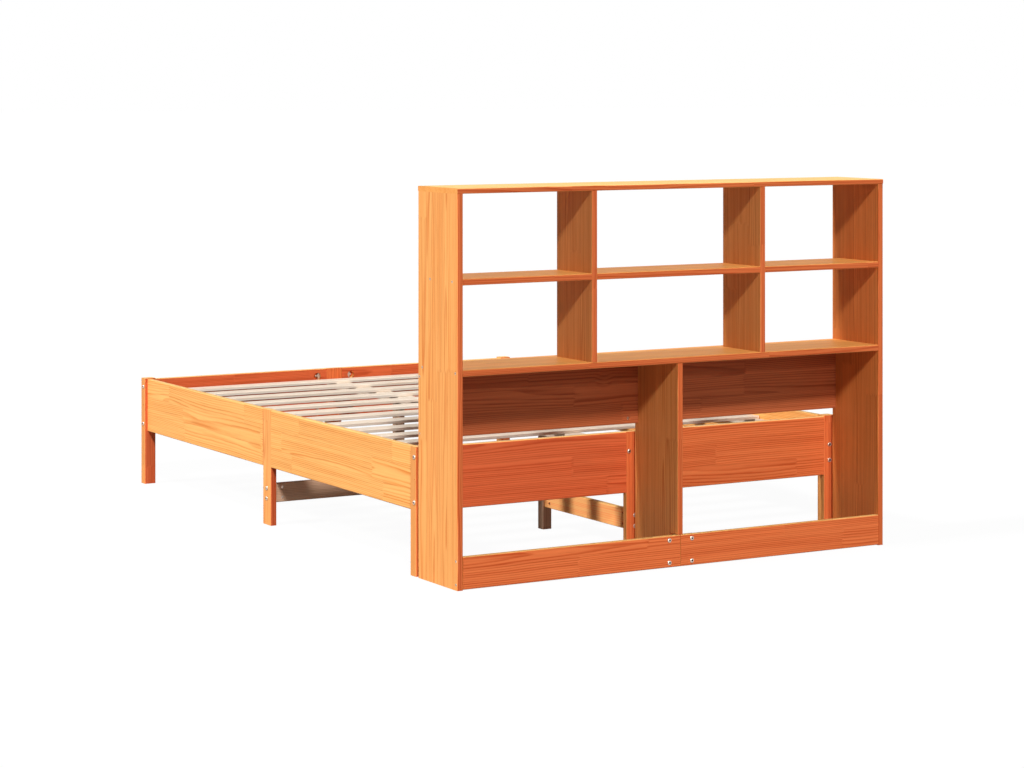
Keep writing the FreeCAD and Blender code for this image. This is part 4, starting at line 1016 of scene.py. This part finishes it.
class BED_OT_cut_nuts(BedStep):
    """Chamfered hexagon nuts behind the crescent washers, and slotted barrel nuts"""
    bl_idname = "bed.cut_nuts"
    bl_label = "Cut the nuts"

    def execute(self, context):
        mesh = bmesh.new()
        for points in solids_of("hexagon_nuts"):
            low, high = box_of(points)
            axis = min(range(3), key=lambda i: high[i] - low[i])
            size = high - low
            height = size[axis]
            flats = min(size[i] for i in range(3) if i != axis)
            wide = max(range(3), key=lambda i: size[i])
            nut = hexagon_nut(height, flats)
            start = (low + high) / 2
            start[axis] = low[axis]
            matrix = facing(start, AXES[axis])
            corner = matrix.to_3x3() @ Vector((1, 0, 0))
            if abs(corner.dot(AXES[wide])) < 0.5:
                matrix = matrix @ Matrix.Rotation(TURN / 4, 4, "Z")
            stamp(mesh, nut, matrix)
            nut.free()
        finish_mesh(mesh, "hexagon_nuts_cut", "hexagon_nuts")

        mesh = bmesh.new()
        for points in solids_of("barrel_nuts"):
            low, high = box_of(points)
            axis = long_axis(points)
            others = [i for i in range(3) if i != axis]
            radius = (high[others[0]] - low[others[0]]) / 2
            nut = barrel_nut(high[axis] - low[axis], radius)
            stamp(mesh, nut, facing((low + high) / 2, AXES[axis]))
            nut.free()
        finish_mesh(mesh, "barrel_nuts_cut", "barrel_nuts")
        for node in PLAIN_STEEL:
            give(frame["nodes"][node], steel_material())
        return {"FINISHED"}


# Lamps by their names in BedStage, with the way they shine and their spread in degrees.
LAMPS = (
    ("key_light", (0.75, -0.03, -0.66), 7.5),
    ("back_light", (0.312, 0.742, -0.594), 6),
    ("low_light", (0.0, 0.956, -0.292), 5),
)
FLOOR_SIZE = 120
SENSOR_WIDTH = 36
CLIP_END = 400


def sun(name, towards, share, spread):
    """A far lamp that shines along a direction; a share of 1 shows a facing surface at its own colour."""
    lamp = bpy.data.lights.new(name, "SUN")
    lamp.energy = share * math.pi
    lamp.angle = math.radians(spread)
    item = bpy.data.objects.new(name, lamp)
    item.rotation_euler = Vector(towards).to_track_quat("-Z", "Y").to_euler()
    bpy.context.scene.collection.objects.link(item)


def seen_directly(tree):
    """1 for rays from the camera, off a mirror or through glass."""
    path = add(tree, "ShaderNodeLightPath")
    direct = calc(tree, "MAXIMUM", path.outputs["Is Camera Ray"], path.outputs["Is Glossy Ray"])
    return calc(tree, "MAXIMUM", direct, path.outputs["Is Transmission Ray"])


class BED_OT_set_stage(BedStep):
    """Pale floor, soft lights and camera"""
    bl_idname = "bed.set_stage"
    bl_label = "Set the stage"

    def execute(self, context):
        stage = context.scene.bed_stage
        mesh = bmesh.new()
        bmesh.ops.create_grid(mesh, x_segments=1, y_segments=1, size=FLOOR_SIZE)
        data = bpy.data.meshes.new("floor")
        mesh.to_mesh(data)
        mesh.free()
        floor = bpy.data.objects.new("floor", data)
        context.scene.collection.objects.link(floor)
        material, tree, shader = new_material("Pale floor")
        tree.nodes.remove(shader)
        grey = (stage.floor_bounce,) * 3 + (1.0,)
        seen = seen_directly(tree)
        matt = add(tree, "ShaderNodeBsdfDiffuse", {"Color": blend(tree, seen, grey, linear(stage.floor))})
        glow = add(tree, "ShaderNodeEmission", {"Color": linear(stage.floor), "Strength": 1.0})
        lift = calc(tree, "MULTIPLY", seen, 1.0 - stage.shadow)
        mixed = add(tree, "ShaderNodeMixShader", {0: lift, 1: matt.outputs[0], 2: glow.outputs[0]})
        tree.links.new(mixed.outputs[0], tree.nodes["Material Output"].inputs["Surface"])
        give(floor, material)

        world = bpy.data.worlds.new("Studio")
        world.use_nodes = True
        tree = world.node_tree
        back = tree.nodes["Background"]
        strength = calc(tree, "MAXIMUM", seen_directly(tree), stage.sky)
        back.inputs["Color"].default_value = (1.0, 1.0, 1.0, 1.0)
        tree.links.new(strength, back.inputs["Strength"])
        context.scene.world = world

        for name, towards, spread in LAMPS:
            sun(name, towards, getattr(stage, name), spread)

        lens = bpy.data.cameras.new("camera")
        lens.sensor_fit = "HORIZONTAL"
        lens.sensor_width = SENSOR_WIDTH
        lens.lens = stage.focal / MM
        lens.shift_x = stage.shift_x
        lens.shift_y = stage.shift_y
        lens.clip_end = CLIP_END
        camera = bpy.data.objects.new("camera", lens)
        camera.location = (stage.camera_x, stage.camera_y, stage.camera_z)
        camera.rotation_euler = (math.pi / 2, 0, -stage.camera_turn)
        context.scene.collection.objects.link(camera)
        context.scene.camera = camera
        context.scene.view_settings.view_transform = "Standard"
        return {"FINISHED"}


class BED_PT_panel(bpy.types.Panel):
    """The bed's steps in the sidebar"""
    bl_idname = "BED_PT_panel"
    bl_label = "Bookcase headboard bed"
    bl_space_type = "VIEW_3D"
    bl_region_type = "UI"
    bl_category = "Bed"

    def draw(self, context):
        for step in STEPS:
            self.layout.operator(step.bl_idname)
        for group in (context.scene.bed_wood, context.scene.bed_fittings, context.scene.bed_stage):
            for name in group.__annotations__:
                self.layout.prop(group, name)


STEPS = (BED_OT_stain_boards, BED_OT_plane_slats, BED_OT_turn_bolts, BED_OT_turn_screws, BED_OT_thread_rods,
         BED_OT_cut_nuts, BED_OT_set_stage)
GROUPS = {"bed_wood": BedWood, "bed_fittings": BedFittings, "bed_stage": BedStage}


def register():
    for item in (*GROUPS.values(), *STEPS, BED_PT_panel):
        bpy.utils.register_class(item)
    for name, group in GROUPS.items():
        setattr(bpy.types.Scene, name, PointerProperty(type=group))


def unregister():
    for name in GROUPS:
        delattr(bpy.types.Scene, name)
    for item in (BED_PT_panel, *reversed(STEPS), *reversed(list(GROUPS.values()))):
        bpy.utils.unregister_class(item)


def main():
    register()
    bpy.ops.bed.stain_boards()
    bpy.ops.bed.plane_slats()
    bpy.ops.bed.turn_bolts()
    bpy.ops.bed.turn_screws()
    bpy.ops.bed.thread_rods()
    bpy.ops.bed.cut_nuts()
    bpy.ops.bed.set_stage()


if __name__ == "__main__":
    main()
